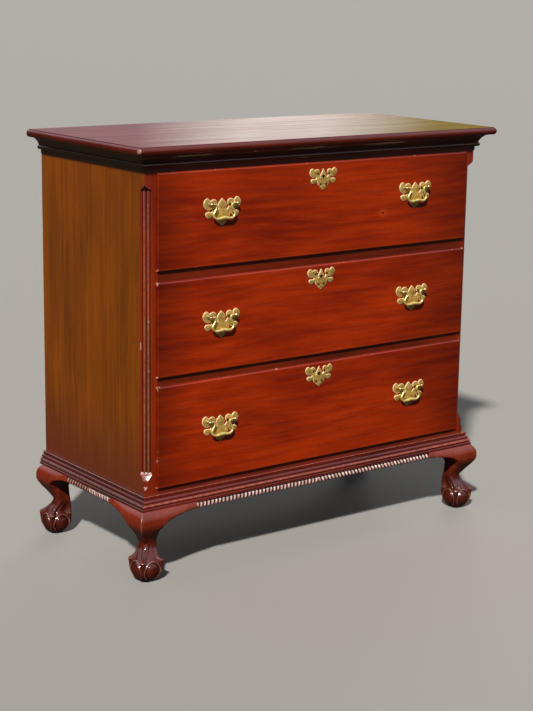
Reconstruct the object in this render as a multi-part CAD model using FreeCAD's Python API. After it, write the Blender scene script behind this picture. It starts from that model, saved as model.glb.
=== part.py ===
# A three-drawer chest of drawers with fluted corner posts and ball-and-claw feet.
# Millimetres. +X is to the right, the drawers face -Y and +Z is up. The floor is z = 0.
import FreeCAD, Part
import math
import os

V = FreeCAD.Vector

# Top board
TOP_W = 940.0
TOP_D = 438.0
TOP_T = 16.0
TOP_OVERHANG = 35.0
NOSE_DEEP = 4.0
NOSE_QUIRK = 1.0

# Case, from the floor up
LEG_H = 152.0
BASE_RISE = 41.0
BOTTOM_DRAWER_H = 210.5
LOWER_GAP = 18.5
MIDDLE_DRAWER_H = 193.0
UPPER_GAP = 22.5
TOP_DRAWER_H = 193.5
FRIEZE_H = 38.0
SIDE_T = 20.0
POST_W = 30.5
POST_D = 24.0
RAIL_D = 24.0
BACK_T = 10.0
BACK_RABBET = 10.0

# Fluted chamfer of the corner posts
CHAMFER = 17.0
NECK = 6.0
FOOT_TIP = 10.0
FOOT_STOP = 28.0
HEAD_TIP = 2.0
HEAD_STOP = 22.0
STOP_COVE = 9.0
FLUTE_INSET = 12.5
FLUTE_COUNT = 3
FLUTE_W = 6.4
FLUTE_PITCH = 8.0
FLUTE_DEEP = 2.0
FLUTE_SIDES = 12

# Cornice under the top board
CORNICE_H = 36.0
CORNICE_OUT = 19.5
COVE_H = 16.5
COVE_FOOT = 7.0
BEAD_H = 9.0
BEAD_OUT = 9.4
BEAD_TUCK = 2.0
COVE_SAG = 4.2
FASCIA_OUT = 1.4
FASCIA_STEP = 1.0
QUIRK = 1.5

# Base moulding
BASE_H = 28.5
BASE_OUT = 16.0
FILLET_H = 5.0
TORUS_H = 10.0
TORUS_OUT = 13.0
TORUS_FOOT = 11.5
TORUS_TUCK = 2.5
BEAD_FOOT = 7.0
BASE_BEAD_OUT = 8.5
BASE_LIP = 4.0

# Legs: offsets are outward from the corner of the base moulding
KNEE_Z = 126.0
KNEE_OUT = 10.7
ANKLE_Z = 75.0
ANKLE_IN = 14.0
LEG_INNER = 46.0
ARRIS_R = 1.2
ANKLE_R = 9.5
FOOT_IN = 21.0
BALL_R = 29.0
BALL_Z = 27.0
BALL_SIDES = 12
BALL_RINGS = 5
NECK_Z = 46.0
NECK_HALF = 21.0
NECK_R = 15.0
TOE_OUT = 35.0
TOE_W = 7.0
TOE_DEEP = 12.0
TOE_LIFT = 7.0
TALON_LIFT = 0.8
TALON_W = 2.5
TALON_DEEP = 5.0
KNUCKLE_Z = 46.0

# Knee blocks and rope strips
BLOCK_T = 26.0
BLOCK_FRONT_L = 85.0
BLOCK_FORE_L = 79.0
BLOCK_AFT_L = 58.0
BLOCK_LOW = 29.0
BLOCK_END = 0.35
ROPE_H = 13.0
ROPE_T = 14.0
ROPE_BACK = 2.5
ROPE_PITCH = 9.2
ROPE_BULGE = 3.6
ROPE_LEAN = 6.0
ROPE_ROOT = 1.0

# Web frames inside the case
RUNNER_W = 45.0
RUNNER_T = 19.0
DUST_T = 6.0
DUST_GROOVE = 6.0
GUIDE_H = 22.0
GLUE_BLOCK = 30.0

# Drawers
LIP = 5.0
LIP_PROUD = 7.0
LIP_ROUND = 3.0
FRONT_T = 15.0
DRAWER_SIDE_T = 12.0
DRAWER_BACK_T = 12.0
DRAWER_BOTTOM_T = 6.0
DRAWER_BOTTOM_UP = 10.0
DRAWER_GROOVE = 5.0
DRAWER_SHORT = 14.0
SIDE_CLEAR = 1.5
RUN_CLEAR = 0.3
FRONT_CLEAR = 1.0
TOP_CLEAR = 4.0
LIP_CLEAR = 0.3
TAIL_PITCH = 42.0
TAIL_W = 24.0
TAIL_FLARE = 3.0
TAIL_LAP = 3.0

# Pulls and escutcheons
PULL_X = 257.0
BORE = 62.0
PLATE_MARGIN = 14.5
PLATE_T = 1.8
PLATE_UP = 15.0
ESC_W = 73.0
KEY_UP = 4.0
TOP_PULL_DOWN = 68.5
MIDDLE_PULL_DOWN = 81.0
BOTTOM_PULL_DOWN = 88.0
TOP_KEY_DOWN = 30.0
MIDDLE_KEY_DOWN = 25.0
BOTTOM_KEY_DOWN = 24.0
PIVOT_OUT = 7.0
HEAD_R = 5.0
HEAD_SIDES = 8
DOME_R = 2.6
SHANK_R = 2.4
SHANK_CLEAR = 0.2
SHANK_SIDES = 6
COLLAR_R = 4.2
NUT_R = 7.0
NUT_T = 3.0
PIN_R = 1.6
PIN_CLEAR = 0.05
PIN_IN = 3.0
PIN_END = 0.2
BAIL_GAP = 1.0
BAIL_NECK_IN = 6.5
BAIL_SWELL = 7.5
BAIL_DROP = 28.5
BAIL_R = 1.8
BAIL_MID_R = 3.5
BAIL_SIDES = 8
KEY_W = 3.2
KEY_R = 2.6
KEY_DROP = 9.0
LOCK_W = 58.0
LOCK_H = 52.0
LOCK_T = 9.0

# Levels that follow from the sizes above
Z_CASE = LEG_H
Z_D3 = Z_CASE + BASE_RISE
Z_D3_TOP = Z_D3 + BOTTOM_DRAWER_H
Z_D2 = Z_D3_TOP + LOWER_GAP
Z_D2_TOP = Z_D2 + MIDDLE_DRAWER_H
Z_D1 = Z_D2_TOP + UPPER_GAP
Z_D1_TOP = Z_D1 + TOP_DRAWER_H
Z_TOP = Z_D1_TOP + FRIEZE_H
HEIGHT = Z_TOP + TOP_T
CASE_X = TOP_W / 2 - TOP_OVERHANG
Y_BACK = TOP_D / 2
Y_FRONT = -TOP_D / 2 + TOP_OVERHANG
SIDE_X = CASE_X - SIDE_T
OPEN_X = CASE_X - POST_W
Y_POST = Y_FRONT + POST_D
Y_PANEL = Y_BACK - BACK_T
Y_LIP = Y_FRONT - LIP_CLEAR
Y_FACE = Y_LIP - LIP_PROUD
Y_INNER = Y_LIP + FRONT_T
BASE_X = CASE_X + BASE_OUT
BASE_Y = Y_FRONT - BASE_OUT

os.makedirs("parts", exist_ok=True)


def save(name, shape):
    shape.exportStep("parts/" + name + ".step")


def box(x0, x1, y0, y1, z0, z1):
    return Part.makeBox(x1 - x0, y1 - y0, z1 - z0, V(x0, y0, z0))


def outline(place, start, steps):
    """Closed face: each step is a point for a line, or a pair of points for an arc through the first."""
    edges = []
    here = start
    for step in steps:
        if isinstance(step[0], tuple):
            via, there = step
            edges.append(Part.Arc(place(*here), place(*via), place(*there)).toShape())
        else:
            there = step
            edges.append(Part.makeLine(place(*here), place(*there)))
        here = there
    if math.dist(here, start) > 1e-6:
        edges.append(Part.makeLine(place(*here), place(*start)))
    return Part.Face(Part.Wire(edges))


def polygon(points):
    return Part.makePolygon(points + points[:1])


def facets(rings):
    """Closed solid of flat facets through rings of points, each ring with as many points as the next."""
    faces = [Part.Face(polygon(rings[0])), Part.Face(polygon(rings[-1]))]
    for low, high in zip(rings, rings[1:]):
        for i in range(len(low)):
            j = (i + 1) % len(low)
            faces.append(Part.Face(polygon([low[i], low[j], high[j]])))
            faces.append(Part.Face(polygon([low[i], high[j], high[i]])))
    shell = Part.makeShell(faces)
    shell.sewShape()
    solid = Part.makeSolid(shell)
    if solid.Volume < 0:
        solid.reverse()
    return solid.removeSplitter()


def group(shapes):
    return Part.makeCompound(shapes)


def mirror_x(shape):
    return shape.mirror(V(0, 0, 0), V(1, 0, 0))


def mirror_y(shape):
    return shape.mirror(V(0, 0, 0), V(0, 1, 0))


def plan_prism(points, z0, z1):
    face = outline(lambda x, y: V(x, y, z0), points[0], points[1:])
    return face.extrude(V(0, 0, z1 - z0))


def moulding(start, steps, reach, z0, z1):
    """One profile run round the front and the two sides of the case, with mitred corners."""
    length = CASE_X + reach
    front = outline(lambda p, z: V(-length, Y_FRONT - p, z), start, steps)
    front = front.extrude(V(2 * length, 0, 0))
    corner = [(-CASE_X, Y_FRONT), (-length, Y_FRONT - reach), (length, Y_FRONT - reach), (CASE_X, Y_FRONT)]
    front = front.common(plan_prism(corner, z0, z1))
    right = outline(lambda p, z: V(CASE_X + p, Y_FRONT - reach, z), start, steps)
    right = right.extrude(V(0, Y_BACK - Y_FRONT + reach, 0))
    side = [(CASE_X, Y_FRONT), (length, Y_FRONT - reach), (length, Y_BACK), (CASE_X, Y_BACK)]
    right = right.common(plan_prism(side, z0, z1))
    return front, mirror_x(right), right


# Top board: the nosed edge profile of the front meets that of the two ends in mitres
def nose(place, far):
    edge = (TOP_W / 2 if far is None else -Y_FRONT + TOP_OVERHANG)
    start = (edge - NOSE_DEEP, HEIGHT)
    steps = [(edge - NOSE_DEEP, HEIGHT - NOSE_QUIRK)]
    steps.append(((edge, HEIGHT - TOP_T / 2), (edge - NOSE_DEEP, Z_TOP)))
    if far is None:
        steps.append((-edge + NOSE_DEEP, Z_TOP))
        steps.append(((-edge, HEIGHT - TOP_T / 2), (-edge + NOSE_DEEP, HEIGHT - NOSE_QUIRK)))
        steps.append((-edge + NOSE_DEEP, HEIGHT))
    else:
        steps.append((far, Z_TOP))
        steps.append((far, HEIGHT))
    return outline(place, start, steps)


across = nose(lambda a, z: V(a, -TOP_D / 2, z), None).extrude(V(0, TOP_D, 0))
along = nose(lambda a, z: V(-TOP_W / 2, -a, z), -Y_BACK).extrude(V(TOP_W, 0, 0))
save("top_board", across.common(along))

# Cornice: cove, bead and a thin fascia, mitred round the front corners
bead_top = Z_TOP - COVE_H - QUIRK
bead_low = bead_top - BEAD_H
cornice = [
    (CORNICE_OUT, Z_TOP),
    (CORNICE_OUT, Z_TOP - QUIRK),
    ((COVE_FOOT + COVE_SAG, Z_TOP - COVE_H / 2), (COVE_FOOT, Z_TOP - COVE_H)),
    (COVE_FOOT, bead_top),
    ((BEAD_OUT, bead_top - BEAD_H / 2), (COVE_FOOT - BEAD_TUCK, bead_low)),
    (FASCIA_OUT, bead_low - FASCIA_STEP),
    (FASCIA_OUT, Z_TOP - CORNICE_H),
    (0.0, Z_TOP - CORNICE_H),
]
front, left, right = moulding((0.0, Z_TOP), cornice, CORNICE_OUT, Z_TOP - CORNICE_H, Z_TOP)
save("cornice_front", front)
save("cornice_left", left)
save("cornice_right", right)

# Base moulding: a fillet, a torus and a bead, each stepping back from the one below
torus_low = Z_CASE + FILLET_H + QUIRK
torus_top = torus_low + TORUS_H
base = [
    (BASE_OUT, Z_CASE),
    (BASE_OUT, Z_CASE + FILLET_H),
    (TORUS_FOOT, torus_low),
    ((TORUS_OUT, torus_low + TORUS_H / 2), (TORUS_FOOT - TORUS_TUCK, torus_top)),
    (BEAD_FOOT, torus_top + QUIRK),
    ((BASE_BEAD_OUT, (torus_top + Z_CASE + BASE_H) / 2), (BASE_LIP, Z_CASE + BASE_H)),
    (0.0, Z_CASE + BASE_H),
]
front, left, right = moulding((0.0, Z_CASE), base, BASE_OUT, Z_CASE, Z_CASE + BASE_H)
save("base_mould_front", front)
save("base_mould_left", left)
save("base_mould_right", right)

# Case sides, rabbeted for the back panel
back = box(-SIDE_X - BACK_RABBET, SIDE_X + BACK_RABBET, Y_PANEL, Y_BACK, Z_CASE, Z_TOP)
side = box(SIDE_X, CASE_X, Y_POST, Y_BACK, Z_CASE, Z_TOP).cut(back)
save("back_panel", back)
save("side_right", side)
save("side_left", mirror_x(side))


# Corner posts: a stopped chamfer with a two-stage lamb's tongue at each end, then flutes
def post():
    block = box(OPEN_X, CASE_X, Y_FRONT, Y_POST, Z_CASE, Z_TOP)
    half = math.sqrt(0.5)
    deep = CHAMFER * half
    neck = NECK * half
    foot_tip = Z_CASE + BASE_H + FOOT_TIP
    head_tip = Z_TOP - CORNICE_H - HEAD_TIP
    foot_full = foot_tip + FOOT_STOP
    head_full = head_tip - HEAD_STOP

    def place(e, z):
        return V(CASE_X - e * half, Y_FRONT + e * half, z)

    def tongue(tip, full):
        """The arcs from the arris at the tip, along the neck and down the cove to the full chamfer."""
        way = math.copysign(1, full - tip)
        cove = full - way * STOP_COVE
        rise = ((neck * 0.8, tip + (cove - tip) * 0.35), (neck, cove))
        fall = ((neck + (deep - neck) * 0.3, full - way * STOP_COVE * 0.25), (deep, full))
        return rise, fall

    rise, fall = tongue(foot_tip, foot_full)
    head_rise, head_fall = tongue(head_tip, head_full)
    steps = [(0.0, foot_tip), rise, fall, (deep, head_full)]
    steps += [(head_fall[0], head_rise[1]), (head_rise[0], (0.0, head_tip)), (-deep, head_tip)]
    sweep = V(1, 1, 0) * CHAMFER
    cutter = outline(place, (-deep, foot_tip), steps)
    cutter.translate(sweep * -1)
    block = block.cut(cutter.extrude(sweep * 2))

    radius = (FLUTE_W ** 2 / 4 + FLUTE_DEEP ** 2) / (2 * FLUTE_DEEP)
    run = head_full - foot_full - 2 * FLUTE_INSET
    turns = [2 * math.pi * (i + 0.5) / FLUTE_SIDES for i in range(FLUTE_SIDES)]
    for i in range(FLUTE_COUNT):
        off = (i - (FLUTE_COUNT - 1) / 2) * FLUTE_PITCH * half
        foot = place(deep + FLUTE_DEEP - radius, foot_full + FLUTE_INSET) + V(off, off, 0)
        rings = []
        for z, r in ((-radius, radius * 0.3), (0.0, radius), (run, radius), (run + radius, radius * 0.3)):
            rings.append([foot + V(r * math.cos(a), r * math.sin(a), z) for a in turns])
        block = block.cut(facets(rings))
    return block


corner = post()
save("corner_post_right", corner)
save("corner_post_left", mirror_x(corner))

# Rails, blades and web frames. Each drawer opening is the lipped front less its lip all round.
openings = [
    ("top", Z_D1, Z_D1_TOP, TOP_PULL_DOWN, TOP_KEY_DOWN),
    ("middle", Z_D2, Z_D2_TOP, MIDDLE_PULL_DOWN, MIDDLE_KEY_DOWN),
    ("bottom", Z_D3, Z_D3_TOP, BOTTOM_PULL_DOWN, BOTTOM_KEY_DOWN),
]
Y_RAIL = Y_FRONT + RAIL_D
save("top_rail_front", box(-OPEN_X, OPEN_X, Y_FRONT, Y_RAIL, Z_D1_TOP - LIP, Z_TOP))
kicker = box(SIDE_X - RUNNER_W, SIDE_X, Y_POST, Y_PANEL - RAIL_D, Z_D1_TOP - LIP, Z_D1_TOP - LIP + RUNNER_T)
save("kickers", group([kicker, mirror_x(kicker)]))

panels = []
runners = []
guides = []
back_rails = [box(-SIDE_X, SIDE_X, Y_PANEL - RAIL_D, Y_PANEL, Z_D1_TOP - LIP, Z_TOP)]
blades = {}
blades["drawer_blade_upper"] = box(-OPEN_X, OPEN_X, Y_FRONT, Y_RAIL, Z_D2_TOP - LIP, Z_D1 + LIP)
blades["drawer_blade_lower"] = box(-OPEN_X, OPEN_X, Y_FRONT, Y_RAIL, Z_D3_TOP - LIP, Z_D2 + LIP)
blades["bottom_rail"] = box(-OPEN_X, OPEN_X, Y_FRONT, Y_RAIL, Z_CASE, Z_D3 + LIP)
for name, low, high, pull, key in openings:
    floor = low + LIP
    mid = floor - RUNNER_T / 2
    panel = box(-SIDE_X + RUNNER_W - DUST_GROOVE, SIDE_X - RUNNER_W + DUST_GROOVE,
                Y_RAIL - DUST_GROOVE, Y_PANEL - RAIL_D + DUST_GROOVE, mid - DUST_T / 2, mid + DUST_T / 2)
    panels.append(panel)
    runner = box(SIDE_X - RUNNER_W, SIDE_X, Y_POST, Y_PANEL - RAIL_D, floor - RUNNER_T, floor).cut(panel)
    runners += [runner, mirror_x(runner)]
    rail = box(-SIDE_X, SIDE_X, Y_PANEL - RAIL_D, Y_PANEL, floor - RUNNER_T, floor).cut(panel)
    back_rails.append(rail)
    guide = box(OPEN_X - SIDE_CLEAR + RUN_CLEAR, SIDE_X, Y_POST, Y_PANEL - RAIL_D, floor, floor + GUIDE_H)
    guides += [guide, mirror_x(guide)]
for name, blade in blades.items():
    for panel in panels:
        blade = blade.cut(panel)
    save(name, blade)
save("drawer_runners", group(runners))
save("drawer_guides", group(guides))
save("frame_back_rails", group(back_rails))
save("dust_panels", group(panels))


# Legs. The square section is drawn by its outer offset, its inner side and its corner radius.
def leg_out(z):
    if z >= KNEE_Z:
        turn = (LEG_H - z) / (LEG_H - KNEE_Z)
        return KNEE_OUT * (1 - (1 - turn) ** 3)
    turn = (KNEE_Z - z) / (KNEE_Z - ANKLE_Z)
    return KNEE_OUT - (KNEE_OUT + ANKLE_IN) * (1 - math.cos(math.pi * turn)) / 2


def square_ring(inner, outer, radius, z):
    """A square from inner to outer on both axes, each corner rounded in two facets."""
    r = min(radius, (outer - inner) * 0.49)
    points = []
    for quarter in range(4):
        x = outer - r if quarter in (0, 3) else inner + r
        y = outer - r if quarter in (0, 1) else inner + r
        for step in range(3):
            turn = math.radians(90 * quarter + 45 * step)
            points.append(V(x + r * math.cos(turn), y + r * math.sin(turn), z))
    return points


def toe(angle):
    """A carved toe in ridged sections: out from the ankle to the knuckle, then down the ball."""
    ankle = (LEG_INNER - ANKLE_IN) / 2
    start = ankle * math.sqrt(2) - ANKLE_R * (math.sqrt(2) - 1)
    shift = (LEG_INNER + ANKLE_IN) / 2 - FOOT_IN
    stations = []
    for t in (0.0, 0.35, 0.7, 1.0):
        flare = 1 - math.cos(math.pi / 2 * t)
        z = ANKLE_Z - (ANKLE_Z - KNUCKLE_Z) * math.sin(math.pi / 2 * t)
        stations.append((start + (TOE_OUT - start) * flare, z, shift * (1 - flare), TOE_W, TOE_DEEP))
    for degrees, left in ((12, 0.9), (-8, 0.7), (-30, 0.3), (-48, 0.0)):
        turn = math.radians(degrees)
        reach = BALL_R + TALON_LIFT + (TOE_LIFT - TALON_LIFT) * left
        wide = TALON_W + (TOE_W - TALON_W) * left
        deep = TALON_DEEP + (TOE_DEEP - TALON_DEEP) * left
        stations.append((reach * math.cos(turn), BALL_Z + reach * math.sin(turn), 0.0, wide, deep))
    away = V(math.cos(math.radians(angle)), math.sin(math.radians(angle)), 0)
    across = V(-away.y, away.x, 0)
    rings = []
    for i, (r, z, back, wide, deep) in enumerate(stations):
        before = stations[max(i - 1, 0)]
        after = stations[min(i + 1, len(stations) - 1)]
        slope = math.hypot(after[0] - before[0], after[1] - before[1])
        normal = away * ((before[1] - after[1]) / slope) + V(0, 0, (after[0] - before[0]) / slope)
        ridge = V(-FOOT_IN - back, -FOOT_IN - back, z) + away * r
        brow = ridge - normal * (deep * 0.35)
        root = ridge - normal * deep
        points = [ridge, brow + across * wide, root + across * (wide * 0.85)]
        rings.append(points + [root - across * (wide * 0.85), brow - across * wide])
    return facets(rings)


def ball():
    """The ball, in faceted rings up from its flat pad on the floor."""
    low = -math.asin(BALL_Z / BALL_R)
    high = math.radians(55)
    spokes = [2 * math.pi * i / BALL_SIDES for i in range(BALL_SIDES)]
    rings = []
    for i in range(BALL_RINGS + 1):
        turn = low + (high - low) * i / BALL_RINGS
        r = BALL_R * math.cos(turn)
        z = BALL_Z + BALL_R * math.sin(turn)
        rings.append([V(r * math.cos(a) - FOOT_IN, r * math.sin(a) - FOOT_IN, z) for a in spokes])
    return facets(rings)


def leg():
    """A leg about the outer corner of the base moulding, with its knee turned to +X and +Y."""
    steps_up = 3
    steps_down = 5
    heights = [LEG_H - (LEG_H - KNEE_Z) * (i / steps_up) ** 1.5 for i in range(steps_up)]
    heights += [KNEE_Z - (KNEE_Z - ANKLE_Z) * i / steps_down for i in range(steps_down + 1)]
    rings = []
    for z in heights:
        fade = max(0.0, (KNEE_Z - z) / (KNEE_Z - ANKLE_Z)) ** 2
        rings.append(square_ring(-LEG_INNER, leg_out(z), ARRIS_R + (ANKLE_R - ARRIS_R) * fade, z))
    for t in (0.35, 1.0):
        z = ANKLE_Z + (NECK_Z - ANKLE_Z) * t
        inner = -LEG_INNER + (-FOOT_IN - NECK_HALF + LEG_INNER) * t
        outer = -ANKLE_IN + (-FOOT_IN + NECK_HALF + ANKLE_IN) * t
        rings.append(square_ring(inner, outer, ANKLE_R + (NECK_R - ANKLE_R) * t, z))
    return facets(rings).multiFuse([ball()] + [toe(45 + 90 * i) for i in range(4)]).removeSplitter()


corner_leg = leg()
back_right = corner_leg.copy()
back_right.translate(V(BASE_X, Y_BACK - KNEE_OUT, 0))
front_right = mirror_y(corner_leg)
front_right.translate(V(BASE_X, BASE_Y, 0))
save("leg_back_right", back_right)
save("leg_back_left", mirror_x(back_right))
save("leg_front_right", front_right)
save("leg_front_left", mirror_x(front_right))


# Knee blocks: the knee's face carried on beside the leg. The bulge dies away and the lower edge
# sweeps up until the block is as deep as the rope strip.
def knee_block(length):
    rings = []
    for t in (0.0, 0.3, 0.65, 1.0):
        u = -LEG_INNER - length * t
        low = LEG_H - ROPE_H - (BLOCK_LOW - ROPE_H) * (1 - t) ** 2
        swell = BLOCK_END + (1 - BLOCK_END) * (1 - t) ** 1.5
        ring = [V(u, -BLOCK_T, low), V(u, -BLOCK_T, LEG_H)]
        for s in (0.0, 0.2, 0.45, 0.7, 1.0):
            z = LEG_H + (low - LEG_H) * s
            ring.append(V(u, swell * leg_out(z) - ROPE_BACK * t * s, z))
        rings.append(ring)
    return facets(rings)


def swap(shape):
    """Turn a block that runs along X into one that runs along Y."""
    return shape.mirror(V(0, 0, 0), V(1, -1, 0))


front_block = mirror_y(knee_block(BLOCK_FRONT_L))
front_block.translate(V(BASE_X, BASE_Y, 0))
save("knee_blocks_front", group([front_block, mirror_x(front_block)]))
fore = mirror_y(swap(knee_block(BLOCK_FORE_L)))
fore.translate(V(BASE_X, BASE_Y, 0))
aft = swap(knee_block(BLOCK_AFT_L))
aft.translate(V(BASE_X, Y_BACK - KNEE_OUT, 0))
save("knee_blocks_side", group([fore, aft, mirror_x(fore), mirror_x(aft)]))


# Rope strips: a row of ridges, one for each twist, in front of a plain strip. They lean to its middle.
def rope(length):
    """A strip along X, centred on x = 0, with its twists facing -Y and its back on y = 0."""
    hollow = ROPE_BULGE - ROPE_T
    strip = box(-length / 2, length / 2, hollow, 0, LEG_H - ROPE_H, LEG_H)
    count = int((length / 2 - ROPE_LEAN) / ROPE_PITCH)
    start = -(length / 2 + count * ROPE_PITCH + ROPE_LEAN) / 2
    steps = []
    for i in range(count):
        x = start + i * ROPE_PITCH
        steps += [(x + ROPE_PITCH / 2, -ROPE_T), (x + ROPE_PITCH, hollow)]
    steps += [(start + count * ROPE_PITCH, hollow + ROPE_ROOT), (start, hollow + ROPE_ROOT)]
    row = outline(lambda x, y: V(x, y, LEG_H - ROPE_H), (start, hollow), steps)
    ridges = row.extrude(V(ROPE_LEAN, 0, ROPE_H))
    return strip.multiFuse([ridges, mirror_x(ridges)])


front_rope = rope(2 * (BASE_X - LEG_INNER - BLOCK_FRONT_L))
front_rope.translate(V(0, BASE_Y + ROPE_T + ROPE_BACK, 0))
save("rope_front", front_rope)
fore_end = BASE_Y + LEG_INNER + BLOCK_FORE_L
aft_end = Y_BACK - KNEE_OUT - LEG_INNER - BLOCK_AFT_L
side_rope = rope(aft_end - fore_end)
side_rope.rotate(V(0, 0, 0), V(0, 0, 1), 90)
side_rope.translate(V(BASE_X - ROPE_T - ROPE_BACK, (fore_end + aft_end) / 2, 0))
save("rope_sides", group([mirror_x(side_rope), side_rope]))


# Brass plates: one half of the batwing outline, mirrored about its upright
def plate(width):
    half = [
        (0.0, 20.6), (4.6, 13.6), (9.0, 4.6), (12.2, 5.4), (11.0, 11.0), (14.2, 19.6), (21.8, 16.6),
        (29.6, 21.4), (36.5, 12.0), (33.0, 4.4), (22.0, 2.6), (19.6, 0.8), (22.6, -0.6), (30.6, -4.2),
        (24.6, -10.0), (20.4, -6.2), (14.8, -7.2), (14.4, -13.6), (9.2, -16.2), (7.0, -20.4), (0.0, -24.2),
    ]
    k = width / 2 / max(x for x, z in half)
    points = [V(x * k, 0, z * k) for x, z in half]
    points += [V(-x * k, 0, z * k) for x, z in reversed(half[1:-1])]
    return Part.Face(polygon(points)).extrude(V(0, -PLATE_T, 0))


def rod_y(radius, x, y0, y1, z):
    return Part.makeCylinder(radius, y1 - y0, V(x, y0, z), V(0, 1, 0))


def ring_y(radius, sides, x, y, z):
    turns = [2 * math.pi * (i + 0.5) / sides for i in range(sides)]
    return [V(x + radius * math.cos(a), y, z + radius * math.sin(a)) for a in turns]


def prism_y(radius, sides, x, y0, y1, z):
    return facets([ring_y(radius, sides, x, y, z) for y in (y0, y1)])


def pull_post(x, z, inward):
    """Round-headed post with its collar, its shank through the front and a nut inside."""
    y_plate = Y_FACE - PLATE_T
    axis = y_plate - PIVOT_OUT
    profile = [
        (COLLAR_R, y_plate),
        (COLLAR_R, axis + HEAD_R * 0.7),
        (HEAD_R, axis + HEAD_R * 0.4),
        (HEAD_R, axis - HEAD_R * 0.4),
        (DOME_R, axis - HEAD_R),
    ]
    head = facets([ring_y(r, HEAD_SIDES, x, y, z) for r, y in profile])
    shank = prism_y(SHANK_R, SHANK_SIDES, x, y_plate, Y_INNER, z)
    nut = prism_y(NUT_R, 6, x, Y_INNER, Y_INNER + NUT_T, z)
    shape = head.multiFuse([shank, nut])
    depth = V(x + inward * (HEAD_R - PIN_IN), axis, z)
    bore = Part.makeCylinder(PIN_R + PIN_CLEAR, PIN_IN + HEAD_R, depth, V(inward, 0, 0))
    return shape.cut(bore)


def bail(x, z):
    """A hanging bail: pins into the two posts, in-turned necks and a swelled grip."""
    axis = Y_FACE - PLATE_T - PIVOT_OUT
    start = BORE / 2 - HEAD_R - BAIL_GAP
    neck = start - BAIL_NECK_IN
    wide = neck + BAIL_SWELL
    pin_tip = start + BAIL_GAP + PIN_IN - PIN_END
    right = [
        (pin_tip, 0.0, PIN_R),
        (start, 0.0, PIN_R),
        (start, 0.0, BAIL_R),
        (neck + BAIL_NECK_IN * 0.2, -BAIL_R / 2, BAIL_R),
        (neck + BAIL_SWELL * 0.05, -BAIL_DROP * 0.26, BAIL_R),
        (wide, -BAIL_DROP * 0.64, BAIL_R),
        (wide * 0.92, -BAIL_DROP * 0.9, BAIL_R * 1.1),
        (wide * 0.65, -BAIL_DROP * 1.04, BAIL_R * 1.3),
        (wide * 0.3, -BAIL_DROP * 1.02, BAIL_MID_R * 0.95),
        (0.0, -BAIL_DROP, BAIL_MID_R),
    ]
    spine = right + [(-u, w, r) for u, w, r in reversed(right[:-1])]
    turns = [2 * math.pi * (i + 0.5) / BAIL_SIDES for i in range(BAIL_SIDES)]
    rings = []
    for i, (u, w, r) in enumerate(spine):
        before = spine[max(i - 1, 0)]
        after = spine[min(i + 1, len(spine) - 1)]
        along = V(after[0] - before[0], 0, after[1] - before[1])
        if w == 0:
            along = V(-1, 0, 0)
        out = V(along.z, 0, -along.x).normalize()
        centre = V(x + u, axis, z + w)
        rings.append([centre + out * (r * math.cos(a)) + V(0, r * math.sin(a), 0) for a in turns])
    return facets(rings)


def lip_profile(place, start, end):
    """A section through the lip from edge to edge, with its two front corners rounded."""
    bow = LIP_ROUND * (1 - math.sqrt(0.5))
    steps = [
        (start, Y_FACE + LIP_ROUND),
        ((start + bow, Y_FACE + bow), (start + LIP_ROUND, Y_FACE)),
        (end - LIP_ROUND, Y_FACE),
        ((end - bow, Y_FACE + bow), (end, Y_FACE + LIP_ROUND)),
        (end, Y_LIP),
    ]
    return outline(place, (start, Y_LIP), steps)


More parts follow.
